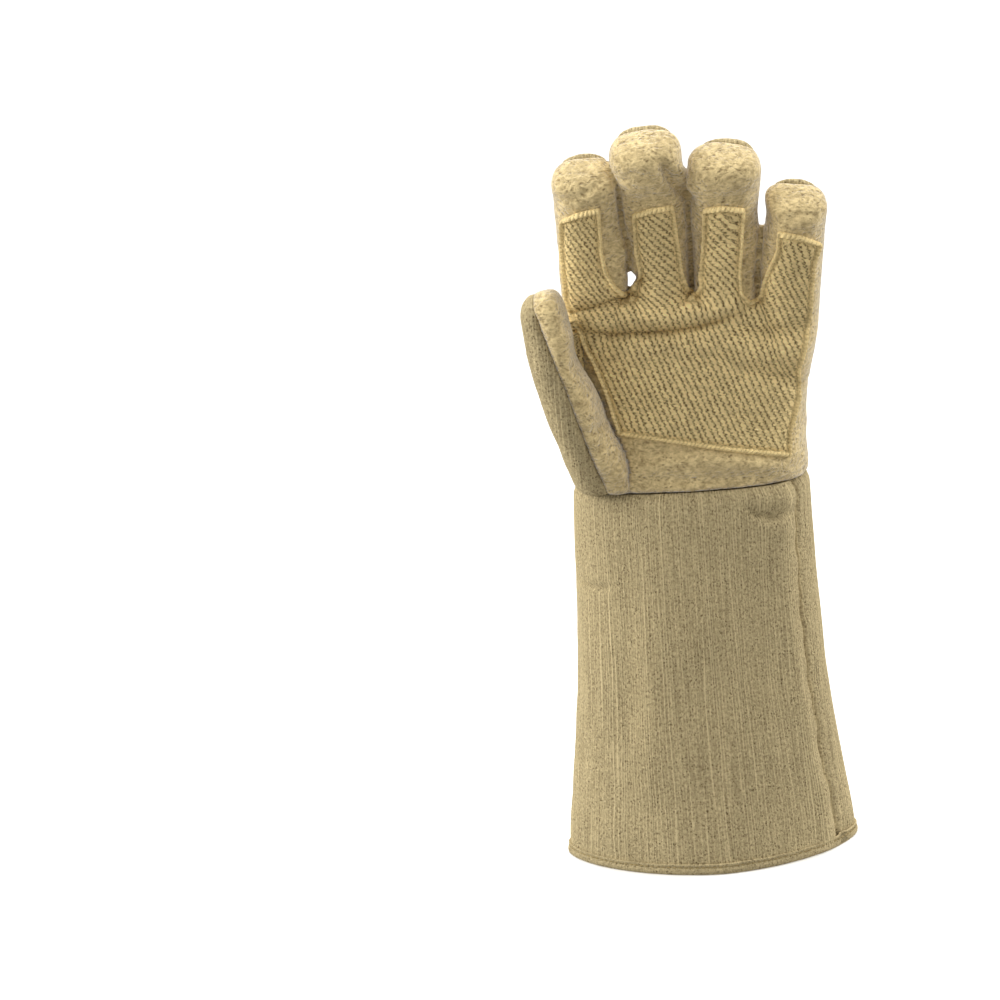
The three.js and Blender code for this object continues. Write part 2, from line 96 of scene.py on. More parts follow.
# up: share of the cuff's height; flare: 1 at the mouth's size, 0 at the wrist's
CUFF_ROWS = [
    {"up": 0, "flare": 1},
    {"up": 0.1, "flare": 0.9},
    {"up": 0.22, "flare": 0.67},
    {"up": 0.34, "flare": 0.46},
    {"up": 0.5, "flare": 0.26},
    {"up": 0.72, "flare": 0.07},
    {"up": 0.93, "flare": 0.04},
    {"up": 1, "flare": 0},
]

HAND_HEIGHT = 106.0
HAND_WIDTH = 136.0
HAND_DEPTH = 62.0
HAND_POWER = 2.5  # of its rounded section; 2 is an ellipse
KNUCKLE_FORWARD = 13.0
CROTCH_DROP = 13.0

# up: share of the hand's height; thumb, little, palm, back: half sizes as shares of the hand's width
# and depth; lean: towards the palm; drop: how much of the crotches' slope the row has
HAND_ROWS = [
    {"up": 0, "thumb": 0.49, "little": 0.48, "palm": 0.61, "back": 0.61, "lean": 0, "drop": 0},
    {"up": 0.07, "thumb": 0.494, "little": 0.483, "palm": 0.635, "back": 0.61, "lean": 0.02, "drop": 0},
    {"up": 0.2, "thumb": 0.485, "little": 0.475, "palm": 0.58, "back": 0.55, "lean": 0.1, "drop": 0.05},
    {"up": 0.42, "thumb": 0.472, "little": 0.486, "palm": 0.54, "back": 0.5, "lean": 0.3, "drop": 0.15},
    {"up": 0.64, "thumb": 0.468, "little": 0.507, "palm": 0.49, "back": 0.41, "lean": 0.5, "drop": 0.3},
    {"up": 0.8, "thumb": 0.47, "little": 0.525, "palm": 0.44, "back": 0.33, "lean": 0.7, "drop": 0.5},
    {"up": 0.92, "thumb": 0.466, "little": 0.528, "palm": 0.35, "back": 0.31, "lean": 0.92, "drop": 0.8},
]

FINGER_ROOT_BELOW = 44.0
FINGER_DEPTH = 35.0
FINGER_ROOT_DEPTH = 46.0
FINGER_POWER = 2.3
CURL_ROOT = 3.0
CURL_TIP = 36.0
BACK_SEAM_SHARE = 0.55
HAND_SEAM_THUMB_SIDE = 25.0
HAND_SEAM_LITTLE_SIDE = 1.5

# centre: the root's place as a share of the hand's width; lean: degrees; lengths in millimetres
FINGERS = [
    {"name": "index", "centre": -0.342, "lean": 0.4, "reach": 126, "root": 35.5, "pad": 36.5},
    {"name": "middle", "centre": -0.086, "lean": -0.2, "reach": 144, "root": 33.0, "pad": 38.0},
    {"name": "ring", "centre": 0.154, "lean": 3.8, "reach": 137, "root": 32.0, "pad": 38.0},
    {"name": "little", "centre": 0.396, "lean": 5.0, "reach": 113, "root": 34.5, "pad": 33.0},
]

THUMB_LENGTH = 127.0
THUMB_WIDTH = 41.0
THUMB_THICKNESS = 35.0
THUMB_POWER = 2.2
THUMB_TIP_POWER = 2.15
THUMB_BASE = (-45.0, -19.0)
THUMB_OUT = 25.0
THUMB_FORWARD = 34.0

# along: share of the thumb's length; out, forward: shares of the ways its tip stands out
THUMB_ROWS = [
    {"along": 0.05, "out": 0, "forward": 0, "thickness": 1.06, "width": 1.02},
    {"along": 0.26, "out": 0.22, "forward": 0.34, "thickness": 1.06, "width": 1.02},
    {"along": 0.5, "out": 0.54, "forward": 0.68, "thickness": 1, "width": 0.98},
    {"along": 0.75, "out": 0.85, "forward": 0.91, "thickness": 0.93, "width": 0.92},
    {"along": 1, "out": 1, "forward": 1, "thickness": 0.86, "width": 0.84},
]

# Where the seam up the thumb's edge lies, seen from the palm
THUMB_SEAM = [
    {"z": 218, "x": -45},
    {"z": 234, "x": -50},
    {"z": 252, "x": -55},
    {"z": 272, "x": -60},
    {"z": 286, "x": -63.5},
    {"z": 305, "x": -70},
    {"z": 319, "x": -75},
    {"z": 331, "x": -77.5},
]

# Where the cuff's side seam lies, on the palm's side
CUFF_SEAM = [
    {"z": 2, "x": 74.9},
    {"z": 27, "x": 70.8},
    {"z": 59, "x": 66.4},
    {"z": 89, "x": 63.2},
    {"z": 125, "x": 59.7},
    {"z": 172, "x": 58.5},
    {"z": 206, "x": 59},
    {"z": 223, "x": 58.7},
]

# Pushes on single fingers, where they lean on each other or stand apart. at: the push's middle;
# reach: how far it is felt along each axis
SWELLS = [
    {"finger": "middle", "at": (-13, -45, 402), "reach": (40, 40, 24), "push": (-2.8, 0, 0)},
    {"finger": "ring", "at": (24, -45, 394), "reach": (40, 40, 24), "push": (-3.2, 0, 0)},
    {"finger": "middle", "at": (6, -42, 386), "reach": (12, 22, 8), "push": (2.6, 0, 0)},
    {"finger": "middle", "at": (2, -30, 366), "reach": (12, 30, 16), "push": (1.6, 0, 0)},
    {"finger": "ring", "at": (8, -40, 386), "reach": (12, 22, 12), "push": (1.2, 0, 0)},
    {"finger": "ring", "at": (10, -30, 366), "reach": (12, 30, 16), "push": (-1.6, 0, 0)},
    {"finger": "middle", "at": (-27, -20, 335), "reach": (9, 60, 4.8), "push": (7.5, 0, 0)},
    {"finger": "index", "at": (-28, -10, 335), "reach": (8, 40, 4), "push": (-0.8, 0, 0)},
    {"finger": "index", "at": (-31, -34, 352), "reach": (10, 18, 12), "push": (4.6, -3.0, 0)},
    {"finger": "index", "at": (-33, -34, 334), "reach": (8, 16, 7), "push": (2.5, -3.0, 0)},
    {"finger": "ring", "at": (44, -30, 346), "reach": (12, 40, 16), "push": (2.6, 0, 0)},
    {"finger": "little", "at": (40, -28, 342), "reach": (12, 40, 20), "push": (-2.6, 0, 0)},
    {"finger": "ring", "at": (45, -38, 368), "reach": (8, 26, 12), "push": (-1.8, 0, 0)},
    {"finger": "little", "at": (46, -38, 366), "reach": (8, 26, 12), "push": (2.0, 0, 0)},
    {"finger": "little", "at": (46, -46, 384), "reach": (12, 30, 9), "push": (-1.8, 0, 0)},
    {"finger": "thumb", "at": (-38, -46, 258), "reach": (13, 30, 24), "push": (-7.0, 0, 0)},
    {"finger": "thumb", "at": (-46, -50, 299), "reach": (13, 40, 21), "push": (-8.0, 0, 0)},
    {"finger": "thumb", "at": (-55, -62, 330), "reach": (9, 30, 16), "push": (-5.5, 0, -1.5)},
]

# Folds and soft dents of the hand. path: (x, z) points seen from the palm; face: the side that they
# are on; depth: how far the cloth sinks, or stands out if negative; width: half the fold's width
FOLDS = [
    {
        "face": "palm",
        "depth": 7.0,
        "width": 2.6,
        "path": [(-58, 315), (-50, 310), (-40, 308), (-9, 308), (8, 309), (20, 312), (32, 316)],
    },
    {
        "face": "palm",
        "depth": -5.2,
        "width": 5.6,
        "path": [(-62, 313), (-46, 315.5), (-30, 316.5), (0, 316), (16, 316), (34, 322)],
    },
    {"face": "palm", "depth": -1.8, "width": 4.5, "path": [(-52, 299), (-40, 298), (-20, 298), (6, 297), (24, 300)]},
    {
        "face": "palm",
        "depth": 4.2,
        "width": 2.4,
        "path": [(-62, 318), (-54, 321), (-44, 323.5), (-32, 326), (-18, 327)],
    },
    {"face": "palm", "depth": 2.6, "width": 4.0, "path": [(28, 309), (42, 305), (54, 303), (66, 307)]},
    {"face": "palm", "depth": 1.6, "width": 5.0, "path": [(-30, 298), (-6, 296), (14, 294), (26, 289)]},
    {"face": "palm", "depth": 2.6, "width": 4.5, "path": [(24, 286), (42, 282), (54, 278), (68, 274)]},
    {"face": "palm", "depth": -1.8, "width": 5.0, "path": [(28, 296), (46, 293), (64, 292)]},
    {"face": "palm", "depth": 1.3, "width": 7.0, "path": [(-38, 276), (-20, 266), (-6, 258)]},
    {"face": "palm", "depth": -3.4, "width": 5.0, "path": [(-30, 233), (-11, 236), (5, 236), (27, 233), (52, 229)]},
    {"face": "palm", "depth": 2.2, "width": 3.5, "path": [(-34, 227), (-20, 227), (0, 225), (28, 224), (50, 222)]},
    {"face": "palm", "depth": 4.6, "width": 3.0, "path": [(-6, 403), (-2, 393), (3, 386), (8, 379)]},
    {"face": "palm", "depth": -3.0, "width": 3.5, "path": [(1, 400), (7, 390), (12, 382)]},
    {"face": "palm", "depth": 1.8, "width": 3.0, "path": [(-62, 384), (-48, 387), (-36, 394)]},
    {"face": "palm", "depth": 1.4, "width": 3.0, "path": [(-24, 380), (-12, 383), (0, 381)]},
    {"face": "palm", "depth": 1.2, "width": 2.6, "path": [(14, 382), (26, 380), (40, 383)]},
    {"face": "palm", "depth": 1.6, "width": 3.0, "path": [(50, 365), (64, 369), (78, 366)]},
    {"face": "palm", "depth": 1.0, "width": 2.2, "path": [(-28, 394), (-20, 397), (-12, 395)]},
    {"face": "palm", "depth": 1.6, "width": 2.4, "path": [(-40, 362), (-34, 358), (-28, 357)]},
    {"face": "palm", "depth": 1.4, "width": 2.2, "path": [(-38, 352), (-32, 347), (-26, 346)]},
    {"face": "palm", "depth": 1.4, "width": 2.4, "path": [(-60, 262), (-52, 258), (-42, 262)]},
    {"face": "palm", "depth": 1.2, "width": 2.4, "path": [(-66, 300), (-58, 296), (-50, 300)]},
    {"face": "back", "depth": 2.4, "width": 3.2, "path": [(-60, 318), (-44, 305), (-30, 299), (-10, 302)]},
    {"face": "back", "depth": -1.8, "width": 6.0, "path": [(-56, 309), (-36, 294), (-6, 293), (24, 299)]},
    {"face": "back", "depth": 2.0, "width": 3.6, "path": [(-20, 312), (0, 303), (22, 306)]},
    {"face": "back", "depth": 1.8, "width": 4.5, "path": [(20, 306), (44, 294), (66, 290)]},
    {"face": "back", "depth": 1.4, "width": 7.0, "path": [(-50, 270), (-24, 256), (6, 262)]},
    {"face": "back", "depth": 1.2, "width": 6.0, "path": [(10, 246), (36, 256), (58, 250)]},
]

# The thumb patch's edge, seen from the thumb's side: y as a share of the hand's depth, z of its height.
# The last four rows and the first follow the back cloth's seam
THUMB_PATCH_OUTLINE = [
    (0.31, 0.28),
    (-0.6, 0.6),
    (-0.68, 0.76),
    (-0.7, 0.9),
    (-0.4, 0.95),
    (-0.2, 0.86),
    (0.09, 0.8),
    (0.19, 0.66),
    (0.28, 0.5),
    (0.32, 0.38),
]

# The palm patch's edge as (x, z), seen from the palm, from its lower corner by the thumb
PATCH_OUTLINE = [
    (-38, 251.5),
    (-41, 263),
    (-45, 278),
    (-49, 290),
    (-54, 302),
    (-57, 312),
    (-61.5, 324),
    (-62, 340),
    (-61.5, 360),
    (-60.5, 373.5),
    (-51, 378),
    (-39, 380),
    (-39.5, 355),
    (-38, 343),
    (-34, 334.5),
    (-29, 329),
    (-24.5, 331),
    (-21.5, 340),
    (-23, 353),
    (-23, 374.5),
    (-13, 377),
    (-1, 378),
    (0, 366),
    (1, 351),
    (1.5, 339),
    (4, 329),
    (8, 325.5),
    (10.5, 330),
    (11, 340),
    (12.5, 353),
    (14, 375),
    (24, 376.5),
    (36, 374),
    (35, 364),
    (34, 350),
    (32.5, 336),
    (33, 325),
    (37, 320.5),
    (42, 322),
    (45, 335),
    (51, 349),
    (52, 361),
    (64, 358),
    (75, 351.5),
    (71.5, 341),
    (70, 326),
    (69, 313),
    (67, 302),
    (65, 292),
    (62, 282),
    (61, 265),
    (55.5, 246),
    (54.5, 232),
    (32, 237.5),
    (16, 241),
    (-1, 244.5),
    (-21, 249),
]


def linear(hex_colour):
    """An sRGB hex colour as Blender's linear numbers."""
    channels = [int(hex_colour[i : i + 2], 16) / 255 for i in (1, 3, 5)]
    return tuple(c / 12.92 if c <= 0.04045 else ((c + 0.055) / 1.055) ** 2.4 for c in channels)


class GloveSizes(PropertyGroup):
    """The sizes that a maker would change without changing the pattern."""

    voxel: FloatProperty(name="Cloth mesh", description="Facet size of the hand", default=1.25 * MM, unit="LENGTH")
    seam_depth: FloatProperty(name="Seam depth", description="How far a seam sinks", default=1.7 * MM, unit="LENGTH")
    seam_width: FloatProperty(name="Seam width", description="Half a seam's width", default=1.5 * MM, unit="LENGTH")
    rib_pitch: FloatProperty(name="Rib pitch", description="Between the cloth's ribs", default=2.1 * MM, unit="LENGTH")
    rib_height: FloatProperty(name="Rib height", description="Of the cloth's ribs", default=0.14 * MM, unit="LENGTH")
    twill_pitch: FloatProperty(name="Twill pitch", description="From cord to cord", default=3.05 * MM, unit="LENGTH")
    twill_height: FloatProperty(name="Twill height", description="Of its cords", default=0.72 * MM, unit="LENGTH")
    stitch_pitch: FloatProperty(name="Stitch pitch", description="Stitch to stitch", default=3.2 * MM, unit="LENGTH")


class GloveColours(PropertyGroup):
    """The colours of the cloths and the thread, in linear numbers. The second colour of each cloth is painted shade for
    its low places, pits and holes; in the felt it is also the darker side of the nap's grain.
    """

    felt: FloatVectorProperty(name="Felt", description="Palm", subtype="COLOR", default=linear("#E1CA95"))
    felt_shaded: FloatVectorProperty(name="Felt, deep", description="Its nap", subtype="COLOR", default=linear("#7C6742"))
    woven: FloatVectorProperty(name="Cloth", description="Cuff and back", subtype="COLOR", default=linear("#D3C092"))
    woven_shaded: FloatVectorProperty(name="Cloth, deep", description="Holes", subtype="COLOR", default=linear("#584729"))
    twill: FloatVectorProperty(name="Twill", description="Patches", subtype="COLOR", default=linear("#FFE4A4"))
    twill_shaded: FloatVectorProperty(name="Twill, deep", description="Holes", subtype="COLOR", default=linear("#553C17"))
    thread: FloatVectorProperty(name="Thread", description="Stitches", subtype="COLOR", default=linear("#988351"))


# The camera that was fitted to the photograph: lens and film in millimetres, the point on the cuff's
# axis that it aims at, and where that point stands in a square frame, in pixels
LENS = 90
FILM_WIDTH = 36
CAMERA_DISTANCE = 1400.0
CAMERA_ELEVATION = math.radians(15)
CAMERA_ROLL = math.radians(3.4)
AIM_HEIGHT = 202.5
AIM_IN_FRAME = (693, 503)
FRAME_PIXELS = 1000

# Small mathematics


def smooth(values, low, high):
    """From 0 at low to 1 at high, with soft ends."""
    share = np.clip((values - low) / (high - low), 0, 1)
    return share * share * (3 - 2 * share)


def eased(values, reach):
    """Values along a row, each averaged with its neighbours, the ends kept."""
    padded = np.concatenate([np.full(reach, values[0]), values, np.full(reach, values[-1])])
    weights = np.hanning(2 * reach + 3)[1:-1]
    result = np.convolve(padded, weights / weights.sum(), "valid")
    fade = smooth(np.minimum(np.arange(len(values)), np.arange(len(values))[::-1]), 0, reach)
    return values + (result - values) * fade


def between(at, rows, key, name):
    """A table's column, worked out between its rows."""
    return np.interp(at, [row[key] for row in rows], [row[name] for row in rows])


def lattice(x, y, z, seed):
    """A fixed pseudo-random number from -1 to 1 at each whole-number place."""
    mixed = (x * 374761393 + y * 668265263 + z * 1440662683 + seed * 1274126177) & 0xFFFFFFFF
    mixed = ((mixed ^ (mixed >> 13)) * 1274126177) & 0xFFFFFFFF
    return ((mixed ^ (mixed >> 16)) & 0xFFFF) / 32767.5 - 1


def lumps(points, size, seed):
    """Soft random lumps of about that size, from -1 to 1."""
    place = points / size
    base = np.floor(place).astype(np.int64)
    part = place - base
    part = part * part * (3 - 2 * part)
    total = np.zeros(len(points))
    for dx in (0, 1):
        for dy in (0, 1):
            for dz in (0, 1):
                weight = np.ones(len(points))
                for axis, step in enumerate((dx, dy, dz)):
                    weight = weight * (part[:, axis] if step else 1 - part[:, axis])
                total += weight * lattice(base[:, 0] + dx, base[:, 1] + dy, base[:, 2] + dz, seed)
    return total


def once_round(path):
    """A path with its first point again at its end, and how far along it each point lies."""
    closed = np.vstack([path, path[:1]])
    return closed, np.concatenate([[0], np.cumsum(np.linalg.norm(np.diff(closed, axis=0), axis=1))])


def points_at(at, closed, run):
    """The points at those distances along a path."""
    return np.stack([np.interp(at, run, closed[:, axis]) for axis in range(closed.shape[1])], axis=1)


def path_distance(flat, path, closed=False):
    """Distance from flat points to a path, and how far along the path (0 to 1) each nearest place is."""
    path = np.array(path, float)
    if closed:
        path = np.vstack([path, path[:1]])
    lengths = np.linalg.norm(np.diff(path, axis=0), axis=1)
    run = np.concatenate([[0], np.cumsum(lengths)])
    best = np.full(len(flat), 1e9)
    along = np.zeros(len(flat))
    for k, length in enumerate(lengths):
        way = (path[k + 1] - path[k]) / length
        reach = np.clip((flat - path[k]) @ way, 0, length)
        gap = np.linalg.norm(flat - path[k] - reach[:, None] * way, axis=1)
        nearer = gap < best
        best[nearer] = gap[nearer]
        along[nearer] = (run[k] + reach[nearer]) / run[-1]
    return best, along


def inside(flat, path):
    """Which flat points lie inside a closed path."""
    path = np.array(path, float)
    result = np.zeros(len(flat), bool)
    for a, b in zip(path, np.roll(path, -1, axis=0)):
        crosses = (a[1] > flat[:, 1]) != (b[1] > flat[:, 1])
        height = np.where(b[1] == a[1], 1e-9, b[1] - a[1])
        result ^= crosses & (flat[:, 0] < a[0] + (flat[:, 1] - a[1]) * (b[0] - a[0]) / height)
    return result


# Lofts: rings of points in millimetres


def section(centre, side, back, half, power, steps):
    """A ring of a rounded section; half holds its half sizes towards +side, -side, +back and -back."""
    angle = np.linspace(0, 2 * np.pi, steps, endpoint=False)
    c, s = np.cos(angle), np.sin(angle)
    plus, minus, rear, front = half
    across = np.sign(c) * np.abs(c) ** (2 / power) * np.where(c > 0, plus, minus)
    deep = np.sign(s) * np.abs(s) ** (2 / power) * np.where(s > 0, rear, front)
    return np.asarray(centre) + across[:, None] * np.asarray(side) + deep[:, None] * np.asarray(back)


def dome(share_power, steps):
    """Pairs of advance and size that close a loft with a rounded end."""
    turn = np.linspace(0, np.pi / 2, steps + 1)[1:]
    advance = np.sin(turn) * 0.995
    return [(a, (1 - a**share_power) ** (1 / share_power)) for a in advance]


def tube_loft(centres, halves, power, steps, end_dome, dome_power=3.5):
    """Rings square to a line of centres, with a flat start and a domed end."""
    side = np.array([1.0, 0, 0])
    rings = []
    for k in range(len(centres)):
        along = centres[min(k + 1, len(centres) - 1)] - centres[max(k - 1, 0)]
        along /= np.linalg.norm(along)
        back = np.cross(along, side)
        back /= np.linalg.norm(back)
        across = np.cross(back, along)
        rings.append(section(centres[k], across, back, halves[k], power, steps))
    for advance, share in dome(dome_power, 12):
        centre = centres[-1] + along * advance * end_dome
        rings.append(section(centre, across, back, np.array(halves[-1]) * share, power, steps))
    return np.array(rings)


def palm_loft():
    """The hand without its fingers."""
    at = np.linspace(0, HAND_ROWS[-1]["up"], 70)
    names = ("thumb", "little", "palm", "back", "lean", "drop")
    column = {name: eased(between(at, HAND_ROWS, "up", name), 5) for name in names}

    def hand_ring(k, share, lift):
        """The section of row k, drawn in to a share of its size and lifted."""
        half = np.array(
            [
                HAND_WIDTH * column["little"][k],
                HAND_WIDTH * column["thumb"][k],
                HAND_DEPTH * column["back"][k],
                HAND_DEPTH * column["palm"][k],
            ]
        )
        centre = (0, -KNUCKLE_FORWARD * column["lean"][k], WRIST_Z + HAND_HEIGHT * at[k] + lift)
        ring = section(centre, (1, 0, 0), (0, 1, 0), half * share, HAND_POWER, 96)
        ring[:, 2] -= ring[:, 0] * CROTCH_DROP * column["drop"][k] / HAND_WIDTH
        return ring

    rings = [hand_ring(0, 1, -8)] + [hand_ring(k, 1, 0) for k in range(len(at))]
    height = HAND_HEIGHT * (1 - at[-1])
    rings += [hand_ring(len(at) - 1, share, advance * height) for advance, share in dome(2.7, 8)]
    return np.array(rings)


def finger_line(finger):
    """Centres and half sizes up one finger."""
    steps = 48
    lean = math.tan(math.radians(finger["lean"]))
    end_dome = finger["pad"] * 0.38
    x = finger["centre"] * HAND_WIDTH
    z = WRIST_Z + HAND_HEIGHT - FINGER_ROOT_BELOW - x * CROTCH_DROP / HAND_WIDTH
    centre = np.array([x, -KNUCKLE_FORWARD * 0.72, z])
    centres, halves = [], []
    for k in range(steps):
        t = k / (steps - 1)
        emerge = 0.8 + 0.2 * smooth(t, 0, 0.3)
        width = (finger["root"] + (finger["pad"] - finger["root"]) * t**0.8) * emerge / 2
        depth = (FINGER_ROOT_DEPTH + (FINGER_DEPTH - FINGER_ROOT_DEPTH) * smooth(t, 0.1, 0.6)) * emerge / 2
        centres.append(centre.copy())
        halves.append((width, width, depth, depth))
        curl = math.radians(CURL_ROOT + (CURL_TIP - CURL_ROOT) * t)
        way = np.array([lean * math.cos(curl), -math.sin(curl), math.cos(curl)])
        centre += way * (finger["reach"] - end_dome) / (steps - 1)
    return np.array(centres), halves, end_dome


def thumb_line():
    """Centres and half sizes up the thumb."""
    rise = math.sqrt(THUMB_LENGTH**2 - THUMB_OUT**2 - THUMB_FORWARD**2) - THUMB_THICKNESS * 0.42
    at = np.linspace(THUMB_ROWS[0]["along"], 1, 50)
    names = ("out", "forward", "thickness", "width")
    column = {name: eased(between(at, THUMB_ROWS, "along", name), 6) for name in names}
    centres = np.stack(
        [
            THUMB_BASE[0] - THUMB_OUT * column["out"],
            THUMB_BASE[1] - THUMB_FORWARD * column["forward"],
            WRIST_Z + rise * at,
        ],
        axis=1,
    )
    thick = THUMB_THICKNESS * column["thickness"] / 2
    wide = THUMB_WIDTH * column["width"] / 2
    return centres, list(zip(thick, thick, wide, wide)), THUMB_THICKNESS * 0.42


def halved(quads):
    """Each four-cornered face as two triangles."""
    return np.vstack([quads[:, [0, 1, 2]], quads[:, [0, 2, 3]]])


def loft_faces(rings, steps, start=0):
    """Triangles of a closed loft whose points are numbered ring by ring from start; its ends close too."""
    r, i = np.meshgrid(np.arange(rings - 1), np.arange(steps), indexing="ij")
    a = start + r * steps + i
    b = start + r * steps + (i + 1) % steps
    quads = np.stack([a, b, b + steps, a + steps], axis=-1).reshape(-1, 4)
    fan = np.arange(1, steps - 1)
    last = start + (rings - 1) * steps
    first_end = np.stack([fan * 0 + start, start + fan + 1, start + fan], axis=1)
    last_end = np.stack([fan * 0 + last, last + fan, last + fan + 1], axis=1)
    return np.vstack([halved(quads), first_end, last_end])


# Meshes as arrays: points in millimetres, three corners to a face


def face_vectors(points, tris):
    """Vectors square to the faces, each twice as long as its face is large."""
    corner = points[tris]
    return np.cross(corner[:, 1] - corner[:, 0], corner[:, 2] - corner[:, 0])


def vertex_normals(points, tris):
    """Unit normals at the points, from the faces round each, larger faces counting for more."""
    face = face_vectors(points, tris)
    total = np.zeros_like(points)
    for axis in range(3):
        weight = np.repeat(face[:, axis], 3)
        total[:, axis] = np.bincount(tris.ravel(), weight, len(points))
    length = np.linalg.norm(total, axis=1, keepdims=True)
    return total / np.maximum(length, 1e-12)


def sides_of(tris):
    """Every face's three edges, as pairs of point numbers in the face's order."""
    return np.vstack([tris[:, [0, 1]], tris[:, [1, 2]], tris[:, [2, 0]]])


def edges_of(tris):
    """Each edge once."""
    return np.unique(np.sort(sides_of(tris), axis=1), axis=0)


def relax(points, tris, times, share=0.5):
    """Each point moves towards the middle of its neighbours."""
    edges = edges_of(tris)
    count = np.maximum(np.bincount(edges.ravel(), minlength=len(points)), 1)[:, None]
    for _ in range(times):
        total = np.zeros_like(points)
        for axis in range(points.shape[1]):
            total[:, axis] = np.bincount(edges[:, 0], points[edges[:, 1], axis], len(points))
            total[:, axis] += np.bincount(edges[:, 1], points[edges[:, 0], axis], len(points))
        points = points + (total / count - points) * share
    return points


def settle(points, tris, field):
    """Moves the points nearest to where field changes sign onto that line, so a cut there is smooth."""
    edges = edges_of(tris)
    a, b = edges[:, 0], edges[:, 1]
    crossing = field[a] * field[b] < 0
    a, b = a[crossing], b[crossing]
    t = field[a] / (field[a] - field[b])
    mover = np.where(t < 0.5, a, b)
    place = points[a] + (points[b] - points[a]) * t[:, None]
    count = np.bincount(mover, minlength=len(points))
    moved = count > 0
    points, field = points.copy(), field.copy()
    for axis in range(3):
        total = np.bincount(mover, place[:, axis], len(points))
        points[moved, axis] = total[moved] / count[moved]
    field[moved] = 0
    return points, field


def part_of(points, tris, *extra):
    """Only the points that the faces use, renumbered, with any arrays that go with them."""
    used, inverse = np.unique(tris.ravel(), return_inverse=True)
    return (points[used], inverse.reshape(-1, 3), *[array[used] for array in extra])


def thickened(points, tris, inner):
    """A closed piece between an outer skin and inner points of the same order."""
    pairs = sides_of(tris)
    _, first, count = np.unique(np.sort(pairs, axis=1), axis=0, return_index=True, return_counts=True)
    rim = pairs[first[count == 1]]
    n = len(points)
    walls = np.vstack(
        [
            np.stack([rim[:, 1], rim[:, 0], rim[:, 0] + n], axis=1),
            np.stack([rim[:, 1], rim[:, 0] + n, rim[:, 1] + n], axis=1),
        ]
    )
    return np.vstack([points, inner]), np.vstack([tris, tris[:, ::-1] + n, walls])


def make_object(name, points, tris, material, node):
    """A piece in the row frame, in metres, that rides on the glove and stands for a solid."""
    mesh = bpy.data.meshes.new(name)
    mesh.vertices.add(len(points))
    mesh.vertices.foreach_set("co", (points * MM + CUFF_AXIS).astype(np.float32).ravel())
    mesh.loops.add(len(tris) * 3)
    mesh.loops.foreach_set("vertex_index", tris.astype(np.int32).ravel())
    mesh.polygons.add(len(tris))
    mesh.polygons.foreach_set("loop_start", np.arange(len(tris), dtype=np.int32) * 3)
    mesh.update(calc_edges=True)
    mesh.validate()
    mesh.polygons.foreach_set("use_smooth", np.ones(len(mesh.polygons), bool))
    mesh.materials.append(material)
    obj = bpy.data.objects.new(name, mesh)
    bpy.context.scene.collection.objects.link(obj)
    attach(obj, "root")
    if node:
        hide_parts(node)
    return obj


# Materials

MULTIPLY = {"operation": "MULTIPLY"}
MULTIPLY_ADD = {"operation": "MULTIPLY_ADD"}
SMOOTHSTEP = {"interpolation_type": "SMOOTHSTEP"}


def add_node(tree, kind, settings=None, **links):
    """A node with its settings, its inputs set to values or linked to sockets or to a node's first
    output. i0 is the first input, and other names use _ for spaces."""
    node = tree.nodes.new(kind)
    for name, value in (settings or {}).items():
        setattr(node, name, value)
    for name, value in links.items():
        key = int(name[1:]) if name[0] == "i" and name[1:].isdigit() else name.replace("_", " ")
        if isinstance(value, bpy.types.Node):
            value = value.outputs[0]
        if isinstance(value, bpy.types.NodeSocket):
            tree.links.new(value, node.inputs[key])
        else:
            node.inputs[key].default_value = value
    return node


def new_material(name):
    """A material with its node tree, its shader and the socket that holds the place on the object."""
    material = bpy.data.materials.new(name)
    material.use_nodes = True
    tree = material.node_tree
    shader = tree.nodes["Principled BSDF"]
    shader.inputs["Metallic"].default_value = 0
    shader.inputs["IOR"].default_value = 1.5
    place = add_node(tree, "ShaderNodeTexCoord").outputs["Object"]
    return material, tree, shader, place


def per_metre(size_mm):
    """A texture scale whose pattern repeats about every size_mm."""
    return 1 / (size_mm * MM)


def colour_and_relief(tree, shader, shade, strength, relief, distance):
    """Gives the shader its colour, at a strength that drifts, and its relief as bump, in metres."""
    tint = add_node(tree, "ShaderNodeVectorMath", {"operation": "SCALE"}, i0=shade.outputs[2], Scale=strength)
    tree.links.new(tint.outputs[0], shader.inputs["Base Color"])
    bump = add_node(tree, "ShaderNodeBump", Strength=1.0, Distance=distance, Height=relief)
    tree.links.new(bump.outputs[0], shader.inputs["Normal"])


def set_surface(shader, roughness, specular, sheen, sheen_roughness, sheen_tint):
    """A dull cloth with fuzz that shows at grazing angles."""
    shader.inputs["Roughness"].default_value = roughness
    shader.inputs["Specular IOR Level"].default_value = specular
    shader.inputs["Sheen Weight"].default_value = sheen
    shader.inputs["Sheen Roughness"].default_value = sheen_roughness
    shader.inputs["Sheen Tint"].default_value = (*sheen_tint, 1)


